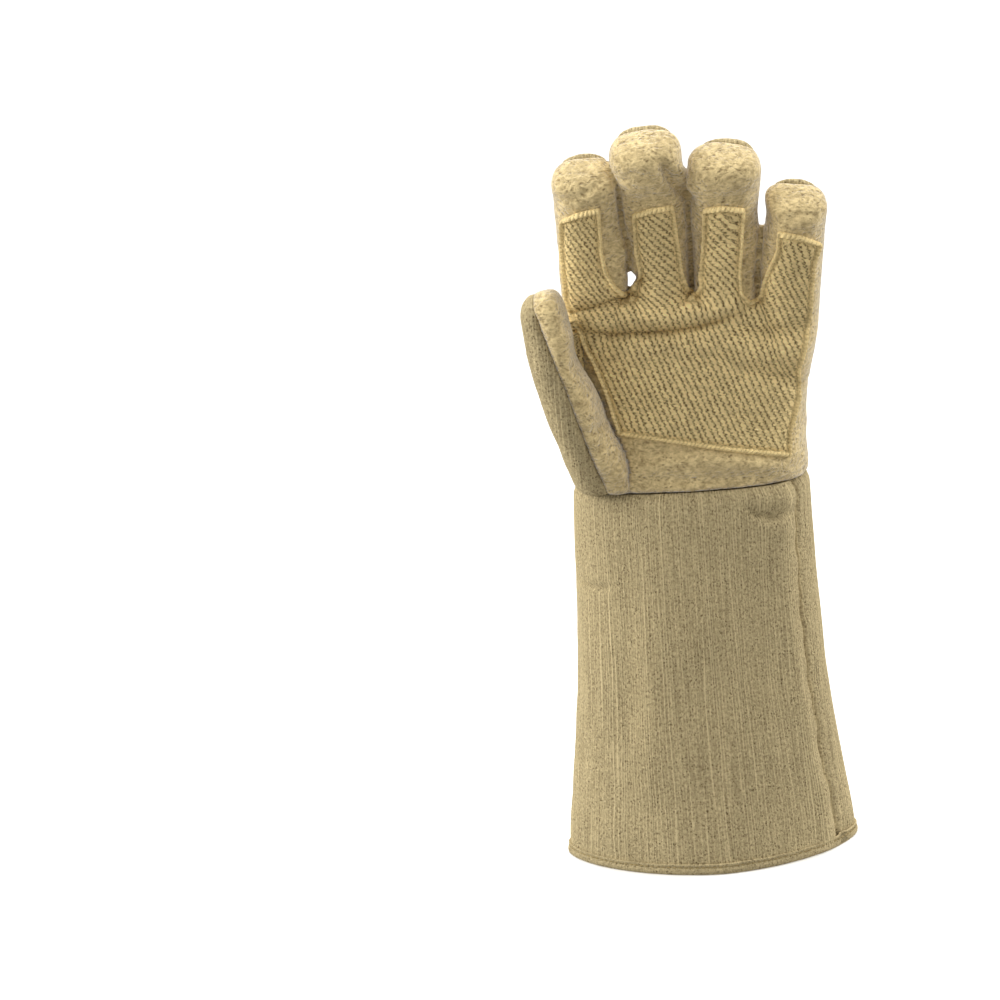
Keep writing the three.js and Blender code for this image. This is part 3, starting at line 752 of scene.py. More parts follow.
def brushed_felt(colours):
    """Needle-punched aramid felt, brushed until it pills: dull, soft-edged, with level waves of nap and small pits
    about 1.5 mm apart, and a pale fuzz at grazing angles. The colour follows the height, so the pits and the low nap
    get painted shade; in the nap it is also the felt's grain."""
    material, tree, shader, place = new_material("aramid_needle_felt_brushed")
    warp = add_node(tree, "ShaderNodeTexNoise", Vector=place, Scale=per_metre(6), Detail=2.0)
    sway = (0.004, 0.004, 0.004)
    bend = add_node(tree, "ShaderNodeVectorMath", MULTIPLY_ADD, i0=warp.outputs["Color"], i1=sway, i2=place)
    level = add_node(tree, "ShaderNodeVectorMath", MULTIPLY, i0=bend, i1=(0.62, 0.62, 1.0))
    nap = add_node(tree, "ShaderNodeTexNoise", Vector=level, Scale=per_metre(1.9), Detail=4.0, Roughness=0.66)
    pits = add_node(tree, "ShaderNodeTexVoronoi", Vector=level, Scale=per_metre(1.5), Randomness=1.0)
    # Painted shade: the pits' low values darken the colour below, besides sinking the bump
    pit = add_node(tree, "ShaderNodeMapRange", i0=pits.outputs["Distance"], i1=0.05, i2=0.5, i3=-0.2, i4=0.08)
    # Patches where the pits sink deeper and so get more painted shade
    hole_depth_and_shade_noise = add_node(tree, "ShaderNodeTexNoise", Vector=place, Scale=per_metre(9), Detail=2.0)
    hole_depth_and_shade = add_node(tree, "ShaderNodeMapRange", i0=hole_depth_and_shade_noise, i1=0.38, i2=0.6, i3=0.25, i4=1.0)
    shown = add_node(tree, "ShaderNodeMath", MULTIPLY, i0=pit, i1=hole_depth_and_shade)
    heap = add_node(tree, "ShaderNodeMath", {"operation": "ADD"}, i0=nap, i1=shown)
    # Painted shade: the colour runs from the shaded colour where the nap and the pits lie low to the pale colour where
    # the nap is high
    ramp = add_node(tree, "ShaderNodeMapRange", i0=heap, i1=0.22, i2=0.68)
    deep, pale = (*colours.felt_shaded, 1), (*colours.felt, 1)
    shade = add_node(tree, "ShaderNodeMix", {"data_type": "RGBA"}, i0=ramp, i6=deep, i7=pale)
    tone = add_node(tree, "ShaderNodeTexNoise", Vector=place, Scale=per_metre(22), Detail=3.0)
    drift = add_node(tree, "ShaderNodeMapRange", i0=tone, i1=0.3, i2=0.7, i3=0.93, i4=1.05)
    colour_and_relief(tree, shader, shade, drift, heap, 0.0014)
    set_surface(shader, 0.95, 0.2, 1.0, 0.32, (1.0, 0.95, 0.87))
    return material


def ribbed_cloth(colours, pitch, name, ribs, strength):
    """Woven aramid cloth, dry and grainy: thin pale upright ribs at uneven spacing that come and go, rows of dark
    pinholes about 1.3 mm apart between them, and fine fuzz. The colour follows the height: the ribs' paleness is
    painted highlight and the pinholes' darkness painted shade. Its weave map is in metres."""
    material, tree, shader, place = new_material(name)
    weave = add_node(tree, "ShaderNodeUVMap", {"uv_map": "weave"})
    parts = add_node(tree, "ShaderNodeSeparateXYZ", i0=weave)
    upright = add_node(tree, "ShaderNodeVectorMath", MULTIPLY, i0=weave, i1=(1, 0.06, 1))
    wander = add_node(tree, "ShaderNodeTexNoise", Vector=upright, Scale=per_metre(8), Detail=2.0)
    drawn = add_node(tree, "ShaderNodeMath", MULTIPLY, i0=wander, i1=3.0)
    ends = add_node(tree, "ShaderNodeMath", MULTIPLY_ADD, i0=parts, i1=per_metre(pitch), i2=drawn)
    off_rib = add_node(tree, "ShaderNodeMath", {"operation": "PINGPONG"}, i0=ends, i1=0.5)
    crown = add_node(tree, "ShaderNodeMapRange", SMOOTHSTEP, i0=off_rib, i1=0.03, i2=0.24, i3=1.0, i4=0.0)
    which = add_node(tree, "ShaderNodeMath", {"operation": "ROUND"}, i0=ends)
    chance = add_node(tree, "ShaderNodeTexWhiteNoise", {"noise_dimensions": "1D"}, W=which)
    patchy = add_node(tree, "ShaderNodeTexNoise", Vector=upright, Scale=per_metre(5), Detail=3.0)
    held = add_node(tree, "ShaderNodeMapRange", i0=patchy, i1=0.4, i2=0.62, i3=0.2, i4=0.58)
    heavy = add_node(tree, "ShaderNodeMapRange", i0=chance.outputs["Value"], i1=0.0, i2=1.0, i3=0.3, i4=0.95)
    tall = add_node(tree, "ShaderNodeMath", MULTIPLY, i0=heavy, i1=held)
    rib = add_node(tree, "ShaderNodeMath", MULTIPLY, i0=crown, i1=tall)
    streak = add_node(tree, "ShaderNodeTexNoise", Vector=upright, Scale=per_metre(2.4), Detail=4.0)
    ridges = add_node(tree, "ShaderNodeMath", MULTIPLY_ADD, i0=streak, i1=0.55, i2=rib)
    rows = add_node(tree, "ShaderNodeVectorMath", MULTIPLY, i0=weave, i1=(1, 0.85, 1))
    holes = add_node(tree, "ShaderNodeTexVoronoi", Vector=rows, Scale=per_metre(1.3), Randomness=0.85)
    # Painted shade: the pinholes' low values darken the colour, besides sinking the bump
    hole = add_node(tree, "ShaderNodeMapRange", i0=holes.outputs["Distance"], i1=0.08, i2=0.5, i3=-0.46, i4=0.1)
    # Patches where the pinholes sink deeper and so get more painted shade
    hole_depth_and_shade_noise = add_node(tree, "ShaderNodeTexNoise", Vector=weave, Scale=per_metre(5), Detail=3.0)
    hole_depth_and_shade = add_node(tree, "ShaderNodeMapRange", i0=hole_depth_and_shade_noise, i1=0.36, i2=0.6, i3=0.15, i4=1.0)
    open_hole = add_node(tree, "ShaderNodeMath", MULTIPLY, i0=hole, i1=hole_depth_and_shade)
    grain = add_node(tree, "ShaderNodeTexNoise", Vector=rows, Scale=per_metre(1.5), Detail=4.0, Roughness=0.75)
    surface = add_node(tree, "ShaderNodeMath", MULTIPLY_ADD, i0=grain, i1=1.5, i2=open_hole)
    heap = add_node(tree, "ShaderNodeMath", MULTIPLY_ADD, i0=ridges, i1=ribs, i2=surface)
    # Painted highlight and shade: the colour runs from the shaded colour low down to the pale colour on the ribs
    middle = 0.66 + 0.33 * ribs
    ramp = add_node(tree, "ShaderNodeMapRange", i0=heap, i1=middle - 0.42, i2=middle + 0.44)
    deep = (*[c * strength for c in colours.woven_shaded], 1)
    pale = (*[c * strength for c in colours.woven], 1)
    shade = add_node(tree, "ShaderNodeMix", {"data_type": "RGBA"}, i0=ramp, i6=deep, i7=pale)
    tone = add_node(tree, "ShaderNodeTexNoise", Vector=place, Scale=per_metre(45), Detail=3.0)
    drift = add_node(tree, "ShaderNodeMapRange", i0=tone, i1=0.3, i2=0.7, i3=0.94, i4=1.04)
    colour_and_relief(tree, shader, shade, drift, heap, 0.0007)
    set_surface(shader, 0.9, 0.25, 0.4, 0.4, colours.woven)
    return material


def heavy_twill(colours):
    """Heavy spun aramid twill: pale slubby cords about 3 mm apart made of loops about 2.2 mm long, with furrows between
    them where dark holes open between the cross yarns. The colour follows the height: the furrows, the holes and the
    groove of the stitches by the edge get painted shade, the cords' crowns painted highlight. No two loops have the
    same tone."""
    material, tree, shader, place = new_material("aramid_heavy_twill")
    weave = add_node(tree, "ShaderNodeUVMap", {"uv_map": "weave"})
    wander = add_node(tree, "ShaderNodeTexNoise", Vector=place, Scale=per_metre(2.6), Detail=3.0, Roughness=0.7)
    sway = (1.0, 1.7, 0)
    bend = add_node(tree, "ShaderNodeVectorMath", MULTIPLY_ADD, i0=wander.outputs["Color"], i1=sway, i2=weave)
    parts = add_node(tree, "ShaderNodeSeparateXYZ", i0=bend)
    across, along = parts.outputs[0], parts.outputs[1]
    furrow_at = add_node(tree, "ShaderNodeMath", {"operation": "FRACT"}, i0=across)
    off_furrow = add_node(tree, "ShaderNodeMath", {"operation": "PINGPONG"}, i0=across, i1=0.5)
    cord = add_node(tree, "ShaderNodeMapRange", SMOOTHSTEP, i0=off_furrow, i1=0.06, i2=0.42)
    cord_number = add_node(tree, "ShaderNodeMath", {"operation": "FLOOR"}, i0=across)
    shift = add_node(tree, "ShaderNodeMath", MULTIPLY_ADD, i0=cord_number, i1=0.37, i2=along)
    slant = add_node(tree, "ShaderNodeMath", MULTIPLY_ADD, i0=furrow_at, i1=0.9, i2=shift)
    off_gap = add_node(tree, "ShaderNodeMath", {"operation": "PINGPONG"}, i0=slant, i1=0.5)
    loop = add_node(tree, "ShaderNodeMapRange", SMOOTHSTEP, i0=off_gap, i1=0.05, i2=0.4)
    loop_number = add_node(tree, "ShaderNodeMath", {"operation": "FLOOR"}, i0=slant)
    cell = add_node(tree, "ShaderNodeCombineXYZ", i0=cord_number, i1=loop_number)
    cells = add_node(tree, "ShaderNodeTexWhiteNoise", {"noise_dimensions": "2D"}, Vector=cell)
    bead = add_node(tree, "ShaderNodeMath", MULTIPLY_ADD, i0=loop, i1=0.35, i2=0.65)
    crossing = add_node(tree, "ShaderNodeMath", MULTIPLY, i0=loop, i1=0.42)
    relief = add_node(tree, "ShaderNodeMix", i0=cord, i2=crossing, i3=bead)
    rolled = add_node(tree, "ShaderNodeAttribute", {"attribute_name": "rolled"}).outputs["Fac"]
    rise = add_node(tree, "ShaderNodeAttribute", {"attribute_name": "rise"}).outputs["Fac"]
    body = add_node(tree, "ShaderNodeMix", i0=rolled, i2=relief, i3=rise)
    hair = add_node(tree, "ShaderNodeTexNoise", Vector=place, Scale=per_metre(1.2), Detail=4.0, Roughness=0.72)
    heap = add_node(tree, "ShaderNodeMath", MULTIPLY_ADD, i0=hair, i1=1.3, i2=body)
    # Painted highlight and shade: the colour runs from the shaded colour low in the weave to the pale colour on its
    # crowns
    ramp = add_node(tree, "ShaderNodeMapRange", i0=heap, i1=0.62, i2=1.27)
    deep, pale = (*colours.twill_shaded, 1), (*colours.twill, 1)
    shade = add_node(tree, "ShaderNodeMix", {"data_type": "RGBA"}, i0=ramp, i6=deep, i7=pale)
    odd = add_node(tree, "ShaderNodeMapRange", i0=cells.outputs["Value"], i1=0.0, i2=1.0, i3=0.86, i4=1.1)
    tone = add_node(tree, "ShaderNodeTexNoise", Vector=place, Scale=per_metre(30), Detail=2.0)
    drift = add_node(tree, "ShaderNodeMapRange", i0=tone, i1=0.3, i2=0.7, i3=0.92, i4=1.06)
    both = add_node(tree, "ShaderNodeMath", MULTIPLY, i0=odd, i1=drift)
    colour_and_relief(tree, shader, shade, both, heap, 0.001)
    set_surface(shader, 0.92, 0.2, 0.4, 0.4, colours.twill)
    return material


def sewing_thread(colours):
    """Spun aramid sewing thread: darker than the cloth, with a faint twist."""
    material, tree, shader, place = new_material("aramid_sewing_thread")
    twist = add_node(tree, "ShaderNodeTexNoise", Vector=place, Scale=per_metre(0.4), Detail=2.0)
    deep = (*[c * 0.6 for c in colours.thread], 1)
    pale = (*[min(1, c * 1.3) for c in colours.thread], 1)
    shade = add_node(tree, "ShaderNodeMix", {"data_type": "RGBA"}, i0=twist, i6=deep, i7=pale)
    tree.links.new(shade.outputs[2], shader.inputs["Base Color"])
    bump = add_node(tree, "ShaderNodeBump", Strength=0.5, Distance=0.0002, Height=twist)
    tree.links.new(bump.outputs[0], shader.inputs["Normal"])
    shader.inputs["Roughness"].default_value = 0.7
    return material


MATERIALS = {}


# The ribbed cloths. ribs: how far the ribs show; strength: how strong the colours are. The thumb's weaker colours are
# painted shade.
RIBBED_CLOTHS = {
    "cuff_cloth": {"name": "aramid_ribbed_cloth_cuff", "ribs": 1.0, "strength": 1.0},
    "back_cloth": {"name": "aramid_ribbed_cloth_back", "ribs": 1.3, "strength": 1.0},
    # Painted shade: a darker copy of the woven cloth for the thumb's outer half
    "thumb_cloth_shaded": {"name": "aramid_ribbed_cloth_thumb_shaded", "ribs": 0.9, "strength": 0.86},
    "tape": {"name": "aramid_binding_tape", "ribs": 0.2, "strength": 0.93},
}
OTHER_FINISHES = {"felt": brushed_felt, "twill": heavy_twill, "thread": sewing_thread}


def material_for(kind):
    """Each finish is made once."""
    if kind not in MATERIALS:
        colours = bpy.context.scene.glove_colours
        if kind in RIBBED_CLOTHS:
            pitch = bpy.context.scene.glove_sizes.rib_pitch / MM
            MATERIALS[kind] = ribbed_cloth(colours, pitch, **RIBBED_CLOTHS[kind])
        else:
            MATERIALS[kind] = OTHER_FINISHES[kind](colours)
    return MATERIALS[kind]


# The hand's skin, which the hand's pieces are cut from and the patches lie on

SKIN = {}


def union_of(lofts, voxel):
    """One closed mesh round overlapping lofts, as points and faces in millimetres."""
    points, tris, count = [], [], 0
    for rings in lofts:
        steps = rings.shape[1]
        points.append(rings.reshape(-1, 3))
        tris.append(loft_faces(len(rings), steps, count))
        count += len(rings) * steps
    mesh = bpy.data.meshes.new("hand_lofts")
    mesh.from_pydata(np.vstack(points).tolist(), [], np.vstack(tris).tolist())
    obj = bpy.data.objects.new("hand_lofts", mesh)
    bpy.context.scene.collection.objects.link(obj)
    remesh = obj.modifiers.new("union", "REMESH")
    remesh.mode = "VOXEL"
    remesh.voxel_size = voxel
    joined = obj.evaluated_get(bpy.context.evaluated_depsgraph_get()).to_mesh()
    joined.calc_loop_triangles()
    result = np.zeros(len(joined.vertices) * 3, np.float32)
    joined.vertices.foreach_get("co", result)
    faces = np.zeros(len(joined.loop_triangles) * 3, np.int32)
    joined.loop_triangles.foreach_get("vertices", faces)
    bpy.data.objects.remove(obj)
    return result.reshape(-1, 3).astype(float), faces.reshape(-1, 3).astype(np.int64)


def tree_of(points, tris):
    """A search tree for rays and nearest places."""
    return BVHTree.FromPolygons(points.tolist(), tris.tolist())


def distance_to(points, rings):
    """How far each point is from a loft's surface."""
    tree = tree_of(rings.reshape(-1, 3), loft_faces(len(rings), rings.shape[1]))
    return np.array([tree.find_nearest(Vector(p))[3] for p in points])


def back_seam(points):
    """How far behind the seam between the felt and the woven back each point is."""
    x, y, z = points.T
    share = (x + HAND_WIDTH / 2) / HAND_WIDTH
    hand = HAND_SEAM_THUMB_SIDE + (HAND_SEAM_LITTLE_SIDE - HAND_SEAM_THUMB_SIDE) * share
    places, seams = [], []
    for finger in FINGERS:
        centres, halves, _ = finger_line(finger)
        seam = centres[:, 1] + BACK_SEAM_SHARE * np.array(halves)[:, 2]
        top = centres[-1, 2]
        slope = (seam[-1] - seam[-5]) / (centres[-1, 2] - centres[-5, 2])
        above = np.maximum(z - top, 0) * slope + 3.2 * smooth(z, top - 16, top + 4)
        places.append(np.interp(z, centres[:, 2], centres[:, 0]))
        seams.append(np.interp(z, centres[:, 2], seam) + above)
    places, seams = np.array(places), np.array(seams)
    finger_seam = seams[0].copy()
    for k in range(3):
        t = np.clip((x - places[k]) / (places[k + 1] - places[k]), 0, 1)
        finger_seam = np.where(x > places[k], seams[k] + (seams[k + 1] - seams[k]) * t, finger_seam)
    up = smooth(z, WRIST_Z + HAND_HEIGHT * 0.35, WRIST_Z + HAND_HEIGHT * 0.88)
    return y - (hand + (finger_seam - hand) * up)


def thumb_seam(points):
    """How far each point lies towards the palm's side of the seam up the thumb's edge."""
    return points[:, 0] - between(points[:, 2], THUMB_SEAM, "z", "x")


def fold_sink(flat, fold, end):
    """How far one fold sinks each point; it runs out towards its ends."""
    near, along = path_distance(flat, fold["path"])
    ends = np.sin(np.pi * np.clip(along, end, 1 - end)) ** 0.5
    return fold["depth"] * np.exp(-((near / fold["width"]) ** 2)) * ends


def fold_field(points, normals):
    """How far the cloth sinks at each point because of its folds."""
    sink = np.zeros(len(points))
    flat = points[:, [0, 2]]
    facing = {"palm": smooth(-normals[:, 1], -0.1, 0.35), "back": smooth(normals[:, 1], -0.1, 0.35)}
    for fold in FOLDS:
        sink += fold_sink(flat, fold, 0.02) * facing[fold["face"]]
    return sink


def hand_lofts():
    """The palm, the fingers and the thumb as lofts, pushed where they lean on each other."""
    palm = palm_loft()
    fingers = [tube_loft(*line[:2], FINGER_POWER, 64, line[2]) for line in map(finger_line, FINGERS)]
    centres, halves, end = thumb_line()
    thumb = tube_loft(centres, halves, THUMB_POWER, 64, end, THUMB_TIP_POWER)
    forms = {finger["name"]: rings for finger, rings in zip(FINGERS, fingers)} | {"thumb": thumb}
    for swell in SWELLS:
        rings = forms[swell["finger"]]
        apart = np.linalg.norm((rings - swell["at"]) / np.array(swell["reach"]), axis=2)
        rings += np.exp(-(apart**2))[..., None] * swell["push"]
    return palm, fingers, thumb


def hand_skin():
    """The whole hand's outer surface: points, faces, and the fields that its seams follow."""
    if SKIN:
        return SKIN
    sizes = bpy.context.scene.glove_sizes
    palm, fingers, thumb = hand_lofts()
    points, tris = union_of([palm, *fingers, thumb], sizes.voxel / MM)
    points = relax(points, tris, 2)
    touching = np.sort([distance_to(points, rings) for rings in fingers], axis=0)[1]
    to_thumb = distance_to(points, thumb)
    to_hand = np.min([distance_to(points, rings) for rings in (palm, fingers[0])], axis=0)
    root = np.where(points[:, 0] < -20, to_thumb - to_hand, 9.0)
    root = relax(root[:, None], tris, 3)[:, 0]
    bottom = points[:, 2] - WRIST_Z - 0.3
    points, bottom = settle(points, tris, bottom)
    keep = bottom[tris].sum(axis=1) > 0
    points, tris, root, touching = part_of(points, tris[keep], root, touching)
    points, root = settle(points, tris, root)
    on_thumb = root[tris].sum(axis=1) < 0
    back = back_seam(points)
    hand_points, new_back = settle(points, tris[~on_thumb], back)
    side = thumb_seam(hand_points)
    points, new_side = settle(hand_points, tris[on_thumb], side)
    SKIN.update(points=points, tris=tris, on_thumb=on_thumb, root=root, touching=touching)
    SKIN.update(back=new_back, side=new_side)
    SKIN["points"] = dressed(SKIN, sizes)
    return SKIN


def dressed(skin, sizes):
    """The skin with its seams drawn in, its folds, and the soft lumps of padding."""
    points, tris = skin["points"], skin["tris"]
    normals = vertex_normals(points, tris)
    depth, width = sizes.seam_depth / MM, sizes.seam_width / MM
    thumb_share = np.zeros(len(points))
    thumb_share[np.unique(tris[skin["on_thumb"]])] = 1
    hand_share = np.zeros(len(points))
    hand_share[np.unique(tris[~skin["on_thumb"]])] = 1
    gaps = [
        np.where(hand_share > 0, np.abs(back_seam(points)), 99),
        np.where(thumb_share > 0, np.abs(thumb_seam(points)), 99),
        np.abs(skin["root"]) * 1.2,
        np.abs(points[:, 2] - WRIST_Z) * 0.8,
    ]
    sink = np.zeros(len(points))
    up_the_thumb = points[:, 2] - WRIST_Z
    soft = 0.35 + 0.65 * smooth(up_the_thumb, 0, 12) * (1 - smooth(up_the_thumb, 104, 113))
    for k, gap in enumerate(gaps):
        pull = lumps(points, 8, 11 + k) * 0.3 + 1
        round_about = 1.7 if k == 1 else 0.8  # the thumb's own seam draws in more cloth
        near = depth * np.exp(-((gap / width) ** 2)) + round_about * pull * np.exp(-((gap / 6) ** 2))
        sink += near * soft if k in (1, 2) else near
    above_crotch = smooth(points[:, 2], WRIST_Z + HAND_HEIGHT - 8, WRIST_Z + HAND_HEIGHT + 6)
    sink += 3.4 * np.exp(-((skin["touching"] / 1.7) ** 2)) * above_crotch
    sink += fold_field(points, normals)
    sink += 0.55 * lumps(points, 17, 3) + 0.3 * lumps(points, 8, 4) + 0.1 * lumps(points, 3.2, 5)
    return points - normals * np.maximum(sink, -5.0)[:, None]


def closed_piece(points, tris, wall):
    """A padded piece as thick as wall, with smoothed inner points."""
    normals = vertex_normals(points, tris)
    inner = relax(points - normals * wall, tris, 2)
    return thickened(points, tris, inner)


class GLOVE_OT_hand(Operator):
    """Make the felt palm, the woven back and the thumb's two halves"""

    bl_idname = "glove.hand"
    bl_label = "Hand"

    def execute(self, context):
        skin = hand_skin()
        tris = skin["tris"]
        on_thumb = skin["on_thumb"]
        behind = skin["back"][tris].sum(axis=1) > 0
        inward = skin["side"][tris].sum(axis=1) > 0
        pieces = [
            ("palm_felt", "palm_panel", ~on_thumb & ~behind, "felt", "felt"),
            ("back_cloth", "back_panel", ~on_thumb & behind, "back_cloth", "woven_cloth"),
            # The thumb's outer half gets the darker copy of the woven cloth, as painted shade
            ("thumb_outer_half", "thumb_outer", on_thumb & ~inward, "thumb_cloth_shaded", "woven_cloth"),
            ("thumb_inner_half", "thumb_inner", on_thumb & inward, "felt", "felt"),
        ]
        for name, node, mask, kind, slot_name in pieces:
            points, faces = part_of(skin["points"], tris[mask])
            points, faces = closed_piece(points, faces, WALL - WALL_CLEARANCE)
            obj = make_object(name, points, faces, material_for(kind), node)
            layer = obj.data.uv_layers.new(name="weave")
            layer.data.foreach_set("uv", hand_weave(points, faces).astype(np.float32).ravel())
        return {"FINISHED"}


# The cuff


def cuff_size(z, grow):
    """Half sizes, power and turn of the cuff's section at a height."""
    at = np.linspace(0, 1, 120)
    flares = eased(between(at, CUFF_ROWS, "up", "flare"), 8)
    flare = np.interp(z / WRIST_Z, at, flares)
    across = (WRIST_WIDTH + (MOUTH_WIDTH - WRIST_WIDTH) * flare) / 2 + grow
    deep = (WRIST_DEPTH + (MOUTH_DEPTH - WRIST_DEPTH) * flare) / 2 + grow
    return across, deep, WRIST_POWER + (MOUTH_POWER - WRIST_POWER) * flare, MOUTH_TURN * flare


def cuff_ring(z, grow, columns):
    """A ring of the cuff whose points are evenly spaced round it, starting at the back's middle."""
    across, deep, power, turn = cuff_size(z, grow)
    side = (math.cos(turn), math.sin(turn), 0)
    back = (-math.sin(turn), math.cos(turn), 0)
    fine = section((0, 0, z), side, back, (across, across, deep, deep), power, 1440)
    closed, run = once_round(np.roll(fine, -360, axis=0))
    at = np.linspace(0, run[-1], columns, endpoint=False)
    return points_at(at, closed, run), at - run[-1] / 2


def outward_from_axis(points):
    """Level unit vectors from the cuff's axis to each point."""
    outward = points * (1, 1, 0)
    return outward / np.linalg.norm(outward, axis=1, keepdims=True)


def rib_profile(pitch, seed):
    """Heights of uneven ribs against the distance across them, as two rows to interpolate in."""
    rng = np.random.default_rng(seed)
    across, height, place = [-400.0], [0.0], -400.0
    while place < 400:
        wide = pitch * rng.uniform(0.65, 1.45)
        tall = rng.uniform(0.35, 1.0)
        for share in np.linspace(0.1, 0.9, 7):
            across.append(place + wide * share)
            height.append(tall * math.sin(math.pi * share) ** 0.8)
        place += wide
        across.append(place)
        height.append(0.0)
    return np.array(across), np.array(height)


def cuff_seam_place(z):
    """How far round from the front's middle the side seam lies at a height."""
    points, at = cuff_ring(z, 0, 720)
    off = np.abs(points[:, 0] - between(z, CUFF_SEAM, "z", "x")) + 100 * (points[:, 1] > 0)
    return at[np.argmin(off)]


# Folds of the cuff. round, z: the fold's line, with round measured from the front's middle towards
# the little finger; depth and width as for the hand
CUFF_FOLDS = [
    {"depth": 3.4, "width": 1.6, "path": [(30, 206), (36, 202), (44, 200), (58, 201)]},
    {"depth": -0.9, "width": 5.0, "path": [(34, 194), (44, 192), (58, 191)]},
    {"depth": -1.6, "width": 5.0, "path": [(36, 211), (46, 209), (58, 209)]},
    {"depth": -1.8, "width": 22.0, "path": [(-92, 212), (-94, 120), (-98, 30)]},
    {"depth": 2.8, "width": 1.6, "path": [(-84, 166), (-68, 163), (-58, 163), (-48, 165)]},
    {"depth": 2.2, "width": 9.0, "path": [(-34, 205), (-38, 150), (-46, 90), (-52, 40)]},
    {"depth": 1.2, "width": 1.8, "path": [(-84, 62), (-74, 60), (-64, 61)]},
    {"depth": 1.6, "width": 16.0, "path": [(30, 200), (34, 130), (44, 60)]},
    {"depth": -1.6, "width": 14.0, "path": [(-30, 190), (-32, 110), (-40, 30)]},
    {"depth": 1.2, "width": 18.0, "path": [(-70, 120), (-78, 60), (-90, 10)]},
    {"depth": 1.0, "width": 12.0, "path": [(0, 30), (4, 70), (0, 120)]},
    {"depth": 1.2, "width": 4.0, "path": [(-150, 206), (-120, 196), (-100, 200)]},
    {"depth": 1.0, "width": 20.0, "path": [(140, 150), (150, 90), (170, 20)]},
    {"depth": -1.2, "width": 20.0, "path": [(-150, 170), (-160, 100), (-170, 30)]},
]


def cuff_skin(rows, columns):
    """Points of the cuff's outside, ring by ring, with its ribs, its folds and its side seam."""
    sizes = bpy.context.scene.glove_sizes
    across, height = rib_profile(sizes.rib_pitch / MM, 7)
    seam_z = np.linspace(0, WRIST_Z, 12)
    seam_at = np.array([cuff_seam_place(z) for z in seam_z])
    rings = []
    for z in rows:
        points, at = cuff_ring(z, 0, columns)
        outward = outward_from_axis(points)
        flat = np.stack([at, np.full(columns, z)], axis=1)
        sink = np.zeros(columns)
        for fold in CUFF_FOLDS:
            sink += fold_sink(flat, fold, 0.03)
        away = at - np.interp(z, seam_z, seam_at)
        pull = 1 + 0.25 * math.sin(z / 7) + 0.2 * math.sin(z / 3.1)
        sink += 3.0 * np.exp(-((away / 1.8) ** 2)) + 2.0 * pull * np.exp(-((away / 8) ** 2))
        sink -= 1.4 * np.exp(-(((away + 12) / 7) ** 2))
        sink += 1.0 * smooth(away, -1, 3) * (1 - smooth(away, 3, 26))
        sink += 1.8 * math.exp(-(((WRIST_Z - z) / 3.0) ** 2))
        wander = 1.1 * lumps(points * (1, 1, 0.25), 30, 21)
        rib = np.interp(at + wander, across, height)
        fade = 0.65 + 0.5 * lumps(points * (1, 1, 0.2), 9, 22)
        sink -= sizes.rib_height / MM * rib * np.clip(fade, 0.15, 1.2)
        sink += 0.5 * lumps(points, 34, 23) + 0.2 * lumps(points, 12, 24)
        rings.append(points - outward * sink[:, None])
    return np.array(rings)


def hoop_faces(rings):
    """Triangles of rings of points whose last ring meets the first, like a hoop."""
    count, steps = rings.shape[:2]
    r, i = np.meshgrid(np.arange(count), np.arange(steps), indexing="ij")
    below, above = r * steps, ((r + 1) % count) * steps
    quads = np.stack([below + i, below + (i + 1) % steps, above + (i + 1) % steps, above + i], axis=-1)
    return halved(quads.reshape(-1, 4))


def round_the_cuff(rings):
    """Places in the weave for rings of points that start at the back: how far round, and the height. The
    cloth's two ends meet at the side seam. Also how far it is all round."""
    total = 2 * (WRIST_WIDTH + WRIST_DEPTH) * 1.05
    share = np.linspace(0, 1, rings.shape[1], endpoint=False)
    seam_z = np.linspace(0, WRIST_Z, 12)
    seam_share = [0.5 + cuff_seam_place(z) / (2 * cuff_ring(z, 0, 720)[1].max()) for z in seam_z]
    seam = np.interp(rings[:, :, 2].mean(axis=1), seam_z, seam_share)
    past = share[None, :] > seam[:, None]
    round_about = total * (share[None, :] - past)
    place = np.stack([round_about, rings[:, :, 2]], axis=-1)
    return place.reshape(-1, 2) * MM, total * MM


class GLOVE_OT_cuff(Operator):
    """Make the long cuff with its ribs, side seam and folds"""

    bl_idname = "glove.cuff"
    bl_label = "Cuff"

    def execute(self, context):
        columns = 700
        low, high = 1.6, WRIST_Z - 0.2
        outer = cuff_skin(np.linspace(low, high, 96), columns)
        inner_rows = np.linspace(high, low, 9)
        inner = np.array([cuff_ring(z, -WALL, columns)[0] for z in inner_rows])
        outer_top = outer[-1] * (0.985, 0.975, 1)
        rings = np.concatenate([outer, outer_top[None], inner])
        obj = make_object(
            "gauntlet_cuff", rings.reshape(-1, 3), hoop_faces(rings), material_for("cuff_cloth"), "cuff"
        )
        set_weave(obj, *round_the_cuff(rings))
        return {"FINISHED"}


def swept(path, outward, radius, sides):
    """Rings of a round tube along points, each in the plane across the path."""
    way = np.gradient(path, axis=0)
    way /= np.maximum(np.linalg.norm(way, axis=1, keepdims=True), 1e-9)
    up = outward - way * (outward * way).sum(axis=1, keepdims=True)
    up /= np.maximum(np.linalg.norm(up, axis=1, keepdims=True), 1e-9)
    side = np.cross(way, up)
    angle = np.linspace(0, 2 * np.pi, sides, endpoint=False)
    across = (np.cos(angle) * radius)[None, :, None] * side[:, None]
    return path[:, None] + across + (np.sin(angle) * radius)[None, :, None] * up[:, None]


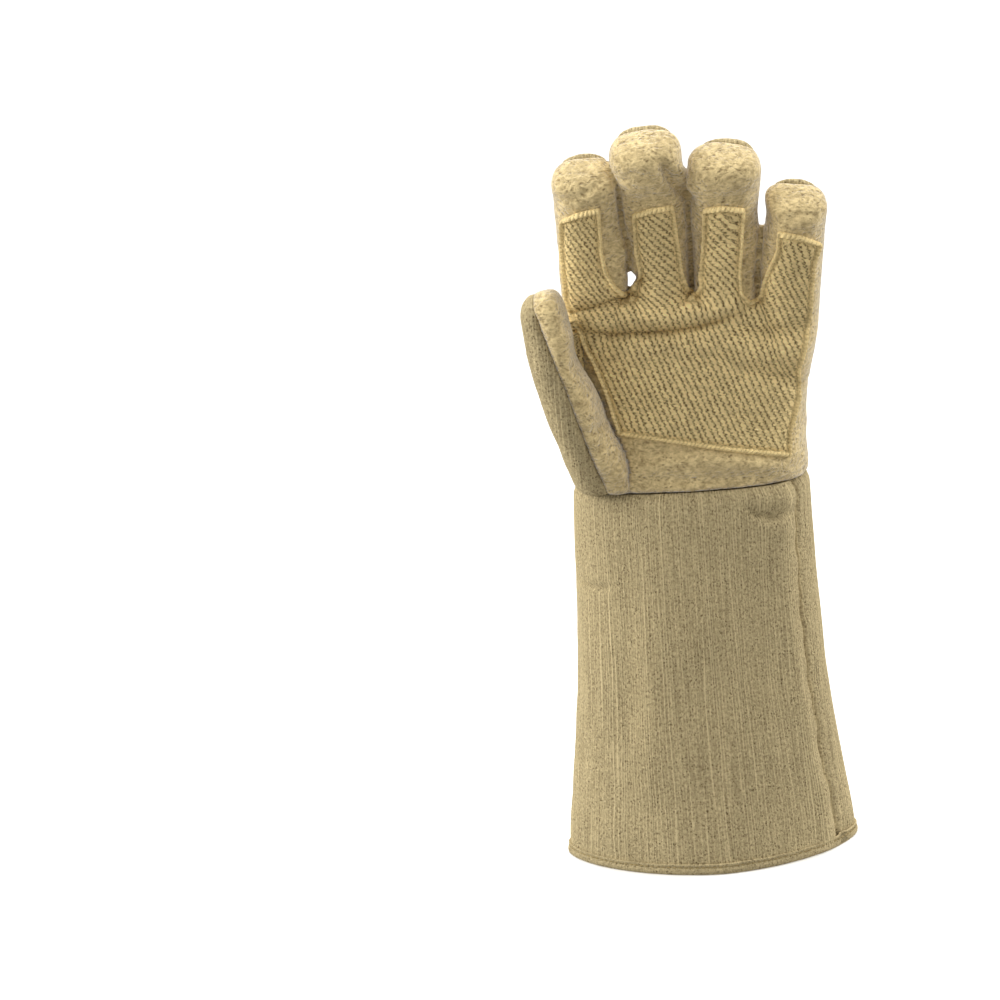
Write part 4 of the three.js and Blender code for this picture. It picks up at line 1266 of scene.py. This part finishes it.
def stitch_mesh(places, ways, outwards, length, radius):
    """Many short stitches as one mesh: each a capsule that dips into the cloth at both ends."""
    share = np.array([-1.0, -0.8, 0, 0.8, 1.0])
    dip = np.array([-0.9, -0.25, 0.35, -0.25, -0.9])
    size = np.array([0.35, 0.9, 1.0, 0.9, 0.35])
    sides = 6
    all_points, all_tris, count = [], [], 0
    for place, way, outward in zip(places, ways, outwards):
        path = place + share[:, None] * way * length / 2 + dip[:, None] * outward * radius
        ring = swept(path, np.tile(outward, (len(share), 1)), radius, sides)
        ring = path[:, None] + (ring - path[:, None]) * size[:, None, None]
        all_points.append(ring.reshape(-1, 3))
        all_tris.append(loft_faces(len(share), sides, count))
        count += len(share) * sides
    return np.vstack(all_points), np.vstack(all_tris)


def hem_rings(columns):
    """Rings of the tape, which is folded round the cuff's lower edge."""
    tape = TAPE_THICKNESS
    # Height, and how far out from the cuff's surface: down the outside, up the inside and back within
    rows = [
        (HEM_HEIGHT - 0.3, 0.1),
        (HEM_HEIGHT, 0.7),
        (HEM_HEIGHT - 0.5, tape * 0.95),
        (HEM_HEIGHT - 1.4, tape * 0.8),
        (HEM_HEIGHT - 2.1, tape * 0.45),
        (HEM_HEIGHT - 2.8, tape * 0.85),
        (HEM_HEIGHT - 3.8, tape * 1.05),
        (1.8, tape * 1.05),
        (0.6, tape * 0.8),
        (0.05, tape * 0.1),
        (0.05, -WALL - 0.2),
        (0.8, -WALL - tape * 0.8),
        (HEM_HEIGHT - 0.8, -WALL - tape * 0.9),
        (HEM_HEIGHT - 0.1, -WALL - 0.3),
        (1.3, -WALL - 0.2),
        (1.3, 0.1),
    ]
    outside_rows = 9  # the rest lie under the edge and inside
    rings = []
    for k, (z, grow) in enumerate(rows):
        points, at = cuff_ring(z, 0, columns)
        outward = outward_from_axis(points)
        wave = 0.16 * lumps(np.stack([at, np.full(columns, z * 2.0), at * 0], axis=1), 4.5, 31)
        away = at - cuff_seam_place(0)
        seam = 1.6 * np.exp(-((away / 3) ** 2)) + 1.4 * np.exp(-((away / 8) ** 2))
        outside = 1.0 if k < outside_rows else 0.0
        ring = points + outward * (grow + outside * (wave - seam))[:, None]
        if outside:
            ring[:, 2] += 0.25 * lumps(np.stack([at, at * 0, at * 0], axis=1), 7, 32) * (z > 3)
        rings.append(ring)
    return np.array(rings)[::-1]


def hem_stitches(columns, pitch):
    """The row of stitches in the groove near the tape's upper edge."""
    line, at = cuff_ring(HEM_HEIGHT - 2.1, TAPE_THICKNESS * 0.55, columns)
    run = np.linspace(0, columns, int(2 * at.max() / pitch), endpoint=False).astype(int)
    ways = np.roll(line, -3, axis=0) - np.roll(line, 3, axis=0)
    ways /= np.linalg.norm(ways, axis=1, keepdims=True)
    outwards = np.cross(ways, (0, 0, 1.0))
    return stitch_mesh(line[run], ways[run], outwards[run], pitch * 0.72, 0.36)


class GLOVE_OT_hem(Operator):
    """Make the tape folded round the cuff's edge, and its row of stitches"""

    bl_idname = "glove.hem"
    bl_label = "Hem binding"

    def execute(self, context):
        columns = 720
        rings = hem_rings(columns)
        tape_object = make_object(
            "hem_tape", rings.reshape(-1, 3), hoop_faces(rings), material_for("tape"), "hem_binding"
        )
        set_weave(tape_object, *round_the_cuff(rings))
        points, faces = hem_stitches(columns, context.scene.glove_sizes.stitch_pitch / MM)
        make_object("hem_stitches", points, faces, material_for("thread"), None)
        return {"FINISHED"}


# The patches of twill


def rounded_path(path, step, times):
    """A closed path with points every step and its corners eased."""
    closed, run = once_round(path)
    points = points_at(np.arange(0, run[-1], step), closed, run)
    for _ in range(times):
        points = (np.roll(points, 1, axis=0) + 2 * points + np.roll(points, -1, axis=0)) / 4
    return points


def weave_rise(across, along):
    """The twill's height, from 0 to 1, by the place in the weave in ribs and loops."""
    cord = 0.5 - 0.5 * np.cos(2 * np.pi * across)
    shifted = along + 0.37 * np.floor(across) + 0.9 * (across % 1)
    loop = 0.5 - 0.5 * np.cos(2 * np.pi * shifted)
    return cord * (0.65 + 0.35 * loop) + (1 - cord) * 0.42 * loop


def twill_rise(flat):
    """The palm patch's weave: slanted ribs of slubby yarn. The slant differs up the fingers."""
    pitch = bpy.context.scene.glove_sizes.twill_pitch / MM
    x, z = flat.T
    bend_z = WRIST_Z + HAND_HEIGHT * 0.97
    slant = np.interp(x, [-60, -45, -12, 26, 45, 66], [30, 32, 40, 36, 18, 14])
    on_finger = smooth(z, bend_z - 14, bend_z + 14)
    angle = np.radians(PALM_TWILL_SLANT + (slant - PALM_TWILL_SLANT) * on_finger)
    deep = np.stack([x, z * 0, z], axis=1)
    across = x * np.cos(angle) + (z - bend_z) * np.sin(angle) + 0.5 * lumps(deep, 14, 41) + 0.2 * lumps(deep, 5, 42)
    along = -x * np.sin(angle) + (z - bend_z) * np.cos(angle) + 0.3 * lumps(deep, 5, 43)
    weave = np.stack([across / pitch, along / LOOP_PITCH], axis=1)
    return weave_rise(*weave.T), weave


def side_twill_rise(flat):
    """The thumb patch's weave, with its ribs slanted a little off upright."""
    pitch = bpy.context.scene.glove_sizes.twill_pitch / MM
    y, z = flat.T
    deep = np.stack([y * 0, y, z], axis=1)
    c, s = math.cos(THUMB_TWILL_SLANT), math.sin(THUMB_TWILL_SLANT)
    across = y * c + z * s + 0.5 * lumps(deep, 14, 45)
    along = -y * s + z * c + 0.3 * lumps(deep, 5, 46)
    weave = np.stack([across / pitch, along / LOOP_PITCH], axis=1)
    return weave_rise(*weave.T), weave


# How far a patch stands off the cloth below, by the distance in from its edge: a rolled edge, the
# groove of its stitches, then the flat
PATCH_PROFILE = [
    {"inward": 0, "lift": 0.3},
    {"inward": 0.2, "lift": 1.4},
    {"inward": 0.6, "lift": 2.3},
    {"inward": 1.1, "lift": 2.8},
    {"inward": 1.6, "lift": 2.7},
    {"inward": 2.1, "lift": 1.9},
    {"inward": 2.6, "lift": 1.1},
    {"inward": 3.1, "lift": 0.8},
    {"inward": 3.8, "lift": 1.3},
    {"inward": 4.8, "lift": 1.9},
]


def onto(flat, tree, way, behind):
    """Where rays along way meet the hand, and how squarely; flat holds the other two coordinates."""
    across = 0 if way[1] else 1
    places = np.zeros((len(flat), 3))
    facing = np.ones(len(flat))
    for k, (a, z) in enumerate(flat):
        start = [RAY_START, RAY_START, z]
        start[across] = a
        hit, normal, _, _ = tree.ray_cast(Vector(start), Vector(way))
        if hit is None or hit[1 - across] > behind:
            start[1 - across] = behind
            places[k] = start
        else:
            places[k] = hit
            facing[k] = normal[1 - across]
    return places, facing


def patch_grid(outline, step, mirrored):
    """A flat grid over an outline: its points, its faces and how many points a row has."""
    low, high = outline.min(axis=0) - 1, outline.max(axis=0) + 1
    cells_a = np.arange(low[0], high[0], step)
    cells_z = np.arange(low[1], high[1], step)
    ga, gz = np.meshgrid(cells_a, cells_z, indexing="xy")
    cols = len(cells_a)
    r, c = np.meshgrid(np.arange(len(cells_z) - 1), np.arange(cols - 1), indexing="ij")
    a = (r * cols + c).ravel()
    quads = np.stack([a, a + 1, a + cols + 1, a + cols], axis=1)
    return np.stack([ga.ravel(), gz.ravel()], axis=1), halved(quads[:, ::-1] if mirrored else quads), cols


def cut_patch(outline, tree, way, behind, step, easing):
    """The part of a grid inside the outline, where the hand also faces the rays: points, faces, how far
    outside the edge each point is, how far along the edge, and how far along the cloth."""
    across = 0 if way[1] else 1
    flat, tris, cols = patch_grid(outline, step, across == 1)
    edge, along = path_distance(flat, outline[::2], closed=True)
    field = np.where(inside(flat, outline[::2]), -edge, edge)
    near = field < 2
    facing = np.ones(len(flat))
    depth = np.full(len(flat), float(behind))
    places, facing[near] = onto(flat[near], tree, way, behind)
    depth[near] = places[:, 1 - across]
    facing = relax(facing[:, None], tris, easing)[:, 0]
    field = np.maximum(field, np.minimum((facing + 0.2) * 12, field + 6))
    reach = along_cloth(flat, relax(depth[:, None], tris, easing)[:, 0], near, cols) if across else flat[:, 0]
    placed = np.zeros((len(flat), 3))
    placed[:, across], placed[:, 2] = flat[:, 0], flat[:, 1]
    placed, field = settle(placed, tris, field)
    return part_of(placed, tris[field[tris].sum(axis=1) < 0], field, along, reach)


def patch_relief(placed, inward, run, rise):
    """How far a patch stands off the cloth below, the weave height that shows, and how much of each
    place belongs to the rolled edge."""
    bead = 1 - smooth(inward, 2.7, 3.7)
    roll = 1 - smooth(inward, 1.8, 2.6)
    loops = 0.72 + 0.28 * np.cos(2 * np.pi * (run / LOOP_PITCH + inward * 0.3) + 1.6 * lumps(placed, 4, 61))
    height = bpy.context.scene.glove_sizes.twill_height / MM
    profile = between(inward, PATCH_PROFILE, "inward", "lift")
    lift = profile + height * (rise - 0.5) * (1 - bead) + roll * 1.1 * (loops - 0.72)
    lift += 0.3 * lumps(placed, 4, 62) * roll
    # Painted shade: the groove of the stitches gets a low weave height, which the twill's material paints darker
    shown = rise * (1 - bead) + (loops * roll + 0.34 * (1 - roll)) * bead
    return np.maximum(lift, 0.25), shown, bead


def lay_patch(outline, tree, way, behind, step, easing, rise_of):
    """A patch of twill laid on the hand: outer points, points below, faces, weave height and weave place."""
    across = 0 if way[1] else 1
    outline = rounded_path(outline, 0.6, 6)
    placed, tris, field, along, reach = cut_patch(outline, tree, way, behind, step, easing)
    flat = placed[:, [across, 2]]
    base, _ = onto(flat, tree, way, behind)
    base[:, 1 - across] = relax(base[:, [1 - across]], tris, easing)[:, 0]
    normals = vertex_normals(base, tris)
    rise, weave = rise_of(np.stack([reach, flat[:, 1]], axis=1) if across else flat)
    run = along * np.linalg.norm(np.diff(outline, axis=0), axis=1).sum()
    inward = -field * (1.12 - 0.12 * edge_level(flat, outline))
    lift, shown, bead = patch_relief(placed, inward, run, rise)
    return base + normals * lift[:, None], base + normals * 0.05, tris, shown, weave, bead


def along_cloth(flat, depth, near, cols):
    """How far each point of a grid lies along its row, with the way in and out counted too."""
    a, depth, near = flat[:, 0].reshape(-1, cols), depth.reshape(-1, cols), near.reshape(-1, cols)
    step = np.diff(a, axis=1)
    dip = np.diff(depth, axis=1) * (near[:, 1:] & near[:, :-1])
    run = np.hstack([a[:, :1], a[:, :1] + np.cumsum(np.hypot(step, dip), axis=1)])
    middle = np.abs(a[0]).argmin()
    return (run - run[:, middle : middle + 1] + a[:, middle : middle + 1]).ravel()


def edge_level(flat, outline):
    """How level the nearest stretch of the outline is: 1 for level, 0 for upright."""
    middles = (outline + np.roll(outline, -1, axis=0)) / 2
    ways = np.roll(outline, -2, axis=0) - np.roll(outline, 2, axis=0)
    level = np.abs(ways[:, 0]) / np.maximum(np.linalg.norm(ways, axis=1), 1e-9)
    for _ in range(6):
        level = (np.roll(level, 1) + 2 * level + np.roll(level, -1)) / 4
    near = KDTree(len(middles))
    for k, (a, z) in enumerate(middles):
        near.insert((a, z, 0), k)
    near.balance()
    return level[[near.find((a, z, 0))[1] for a, z in flat]]


def twill_object(name, node, laid):
    """A patch as a closed piece, with its weave height, its rolled edge and its place in the weave kept on the mesh."""
    top, below, tris, rise, weave, bead = laid
    points, faces = thickened(top, tris, below)
    obj = make_object(name, points, faces, material_for("twill"), node)
    set_point_values(obj, "rise", np.concatenate([rise, rise * 0]))
    set_point_values(obj, "rolled", np.concatenate([bead, bead * 0]))
    set_weave(obj, np.vstack([weave, weave]))


class GLOVE_OT_palm_patch(Operator):
    """Make the twill patch on the palm, with a strip up each finger and a rolled edge all round"""

    bl_idname = "glove.palm_patch"
    bl_label = "Palm patch"

    def execute(self, context):
        skin = hand_skin()
        tree = tree_of(skin["points"], skin["tris"][~skin["on_thumb"]])
        laid = lay_patch(np.array(PATCH_OUTLINE, float), tree, (0, 1, 0), -4.0, 0.58, 5, twill_rise)
        twill_object("palm_twill", "palm_patch", laid)
        return {"FINISHED"}


class GLOVE_OT_thumb_patch(Operator):
    """Make the twill patch over the crotch between the thumb and the hand"""

    bl_idname = "glove.thumb_patch"
    bl_label = "Thumb patch"

    def execute(self, context):
        skin = hand_skin()
        tree = tree_of(skin["points"], skin["tris"])
        outline = np.array([(y * HAND_DEPTH, WRIST_Z + z * HAND_HEIGHT) for y, z in THUMB_PATCH_OUTLINE])
        laid = lay_patch(outline, tree, (1, 0, 0), -38.0, 0.6, 24, side_twill_rise)
        twill_object("thumb_twill", "thumb_patch", laid)
        return {"FINISHED"}


def set_point_values(obj, name, values):
    """Keeps a number for each point on the mesh, for the materials."""
    attribute = obj.data.attributes.new(name, "FLOAT", "POINT")
    attribute.data.foreach_set("value", values.astype(np.float32))


def set_weave(obj, place, wrap=None):
    """Keeps each point's place in the weave as a UV map: across the ribs and along them. wrap is how far
    it is round a closed piece, so that no face reaches across the join."""
    layer = obj.data.uv_layers.new(name="weave")
    corner = np.zeros(len(obj.data.loops), np.int32)
    obj.data.loops.foreach_get("vertex_index", corner)
    at = place[corner]
    if wrap:
        across = at[:, 0].reshape(-1, 3)
        across += wrap * (across < across.max(axis=1, keepdims=True) - wrap / 2)
    layer.data.foreach_set("uv", at.astype(np.float32).ravel())


def hand_weave(points, tris):
    """The place in the weave of each face's corners, from the side that the face looks to."""
    corner, face = points[tris], face_vectors(points, tris)
    sideways = np.abs(face[:, 0]) > 1.3 * np.abs(face[:, 1])
    across = np.where(sideways[:, None], corner[:, :, 1] + 300, corner[:, :, 0])
    return np.stack([across, corner[:, :, 2]], axis=2).reshape(-1, 2) * MM


# Stage


def camera_axes():
    """Right, up and forward of the camera, turned so that the aim lies at its place in the frame."""
    forward = np.array([0, math.cos(CAMERA_ELEVATION), -math.sin(CAMERA_ELEVATION)])
    right = np.array([1.0, 0, 0])
    up = np.cross(right, forward)
    turned_right = right * math.cos(CAMERA_ROLL) - up * math.sin(CAMERA_ROLL)
    turned_up = right * math.sin(CAMERA_ROLL) + up * math.cos(CAMERA_ROLL)
    lens_pixels = FRAME_PIXELS * LENS / FILM_WIDTH
    aside, below = (at - FRAME_PIXELS / 2 for at in AIM_IN_FRAME)
    aim = np.array([aside / lens_pixels, -below / lens_pixels, 1])
    aim /= np.linalg.norm(aim)
    swing = Vector((0, 0, 1)).rotation_difference(Vector(aim)).to_matrix()
    axes = np.array(swing) @ np.stack([turned_right, turned_up, forward])
    return axes, forward


def make_camera(scene):
    """The camera in the place that was fitted to the photograph."""
    axes, forward = camera_axes()
    camera = bpy.data.objects.new("camera", bpy.data.cameras.new("camera"))
    camera.data.lens = LENS
    camera.data.sensor_width = FILM_WIDTH
    place = (np.array([0, 0, AIM_HEIGHT]) - CAMERA_DISTANCE * forward) * MM + CUFF_AXIS
    right, up, ahead = axes
    turn = Matrix(np.stack([right, up, -ahead], axis=1).tolist())
    camera.matrix_world = Matrix.Translation(Vector(place)) @ turn.to_4x4()
    scene.collection.objects.link(camera)
    scene.camera = camera


def make_sky(scene):
    """White light from all round: strongest from above and behind, with a pale band at the horizon."""
    world = bpy.data.worlds.new("studio")
    scene.world = world
    world.use_nodes = True
    tree = world.node_tree
    background = tree.nodes["Background"]
    way = add_node(tree, "ShaderNodeTexCoord").outputs["Generated"]
    behind = add_node(tree, "ShaderNodeVectorMath", {"operation": "DOT_PRODUCT"}, i0=way, i1=(0, 0.7, 0.714))
    glow = add_node(tree, "ShaderNodeMapRange", i0=behind.outputs["Value"], i1=-0.75, i2=1.0, i3=0.5, i4=1.58)
    height = add_node(tree, "ShaderNodeSeparateXYZ", i0=way).outputs[2]
    above = add_node(tree, "ShaderNodeMapRange", i0=height, i1=0.08, i2=0.22, i3=0.95, i4=0.0)
    level = add_node(tree, "ShaderNodeMath", {"operation": "GREATER_THAN"}, i0=height, i1=-0.04)
    horizon = add_node(tree, "ShaderNodeMath", MULTIPLY, i0=above, i1=level)
    sky = add_node(tree, "ShaderNodeMath", {"operation": "MAXIMUM"}, i0=glow, i1=horizon)
    tree.links.new(sky.outputs[0], background.inputs["Strength"])
    background.inputs["Color"].default_value = (1, 1, 1, 1)


def make_lamps(scene):
    """Three soft discs of light that look at the glove's middle."""
    # Name, place and size in metres, power in watts
    lights = [
        ("left", (-1.3, -0.2, 0.75), 0.8, 16),
        ("right", (1.3, 0.2, 0.9), 0.8, 12),
        ("top", (0.1, 0.3, 1.8), 0.5, 9),
    ]
    centre = Vector(((CAD_BOX[0].x + CAD_BOX[1].x) / 2, (CAD_BOX[0].y + CAD_BOX[1].y) / 2, 0.25))
    for name, position, size, power in lights:
        lamp = bpy.data.lights.new(name, "AREA")
        lamp.shape = "DISK"
        lamp.size = size
        lamp.energy = power
        obj = bpy.data.objects.new(name, lamp)
        obj.location = Vector(position)
        obj.rotation_mode = "QUATERNION"
        obj.rotation_quaternion = (centre - Vector(position)).to_track_quat("-Z", "Y")
        scene.collection.objects.link(obj)


def make_floor(scene):
    """A pale painted floor, which throws no light up at the glove."""
    mesh = bpy.data.meshes.new("floor")
    half = 60.0
    mesh.from_pydata([(-half, -half, 0), (half, -half, 0), (half, half, 0), (-half, half, 0)], [], [(0, 1, 2, 3)])
    material = bpy.data.materials.new("painted_studio_floor")
    material.use_nodes = True
    shader = material.node_tree.nodes["Principled BSDF"]
    shader.inputs["Base Color"].default_value = (*linear("#FBFAF7"), 1)
    shader.inputs["Roughness"].default_value = 0.9
    mesh.materials.append(material)
    floor = bpy.data.objects.new("floor", mesh)
    scene.collection.objects.link(floor)
    floor.visible_diffuse = False
    return floor


class GLOVE_OT_stage(Operator):
    """Make the camera, the soft studio lights and the pale floor"""

    bl_idname = "glove.stage"
    bl_label = "Stage"

    def execute(self, context):
        make_camera(context.scene)
        context.scene.view_settings.view_transform = "Standard"
        make_sky(context.scene)
        make_lamps(context.scene)
        floor = make_floor(context.scene)
        return {"FINISHED"}


class GLOVE_PT_panel(Panel):
    """Lists the glove's pieces in the order that they are made"""

    bl_label = "Glove"
    bl_idname = "GLOVE_PT_panel"
    bl_space_type = "VIEW_3D"
    bl_region_type = "UI"
    bl_category = "Glove"

    def draw(self, context):
        layout = self.layout
        for operator in OPERATORS:
            layout.operator(operator.bl_idname)
        for group in (context.scene.glove_sizes, context.scene.glove_colours):
            for name in group.__annotations__:
                layout.prop(group, name)


OPERATORS = (
    GLOVE_OT_stage,
    GLOVE_OT_hand,
    GLOVE_OT_cuff,
    GLOVE_OT_hem,
    GLOVE_OT_palm_patch,
    GLOVE_OT_thumb_patch,
)
CLASSES = (GloveSizes, GloveColours, *OPERATORS, GLOVE_PT_panel)


def register():
    """Registers the classes and hangs their settings on the scene."""
    for cls in CLASSES:
        bpy.utils.register_class(cls)
    bpy.types.Scene.glove_sizes = PointerProperty(type=GloveSizes)
    bpy.types.Scene.glove_colours = PointerProperty(type=GloveColours)


def unregister():
    """Takes the same away again."""
    del bpy.types.Scene.glove_colours
    del bpy.types.Scene.glove_sizes
    for cls in reversed(CLASSES):
        bpy.utils.unregister_class(cls)


def main():
    """Makes the stage and every piece."""
    register()
    bpy.ops.glove.stage()
    bpy.ops.glove.hand()
    bpy.ops.glove.cuff()
    bpy.ops.glove.hem()
    bpy.ops.glove.palm_patch()
    bpy.ops.glove.thumb_patch()


if __name__ == "__main__":
    main()
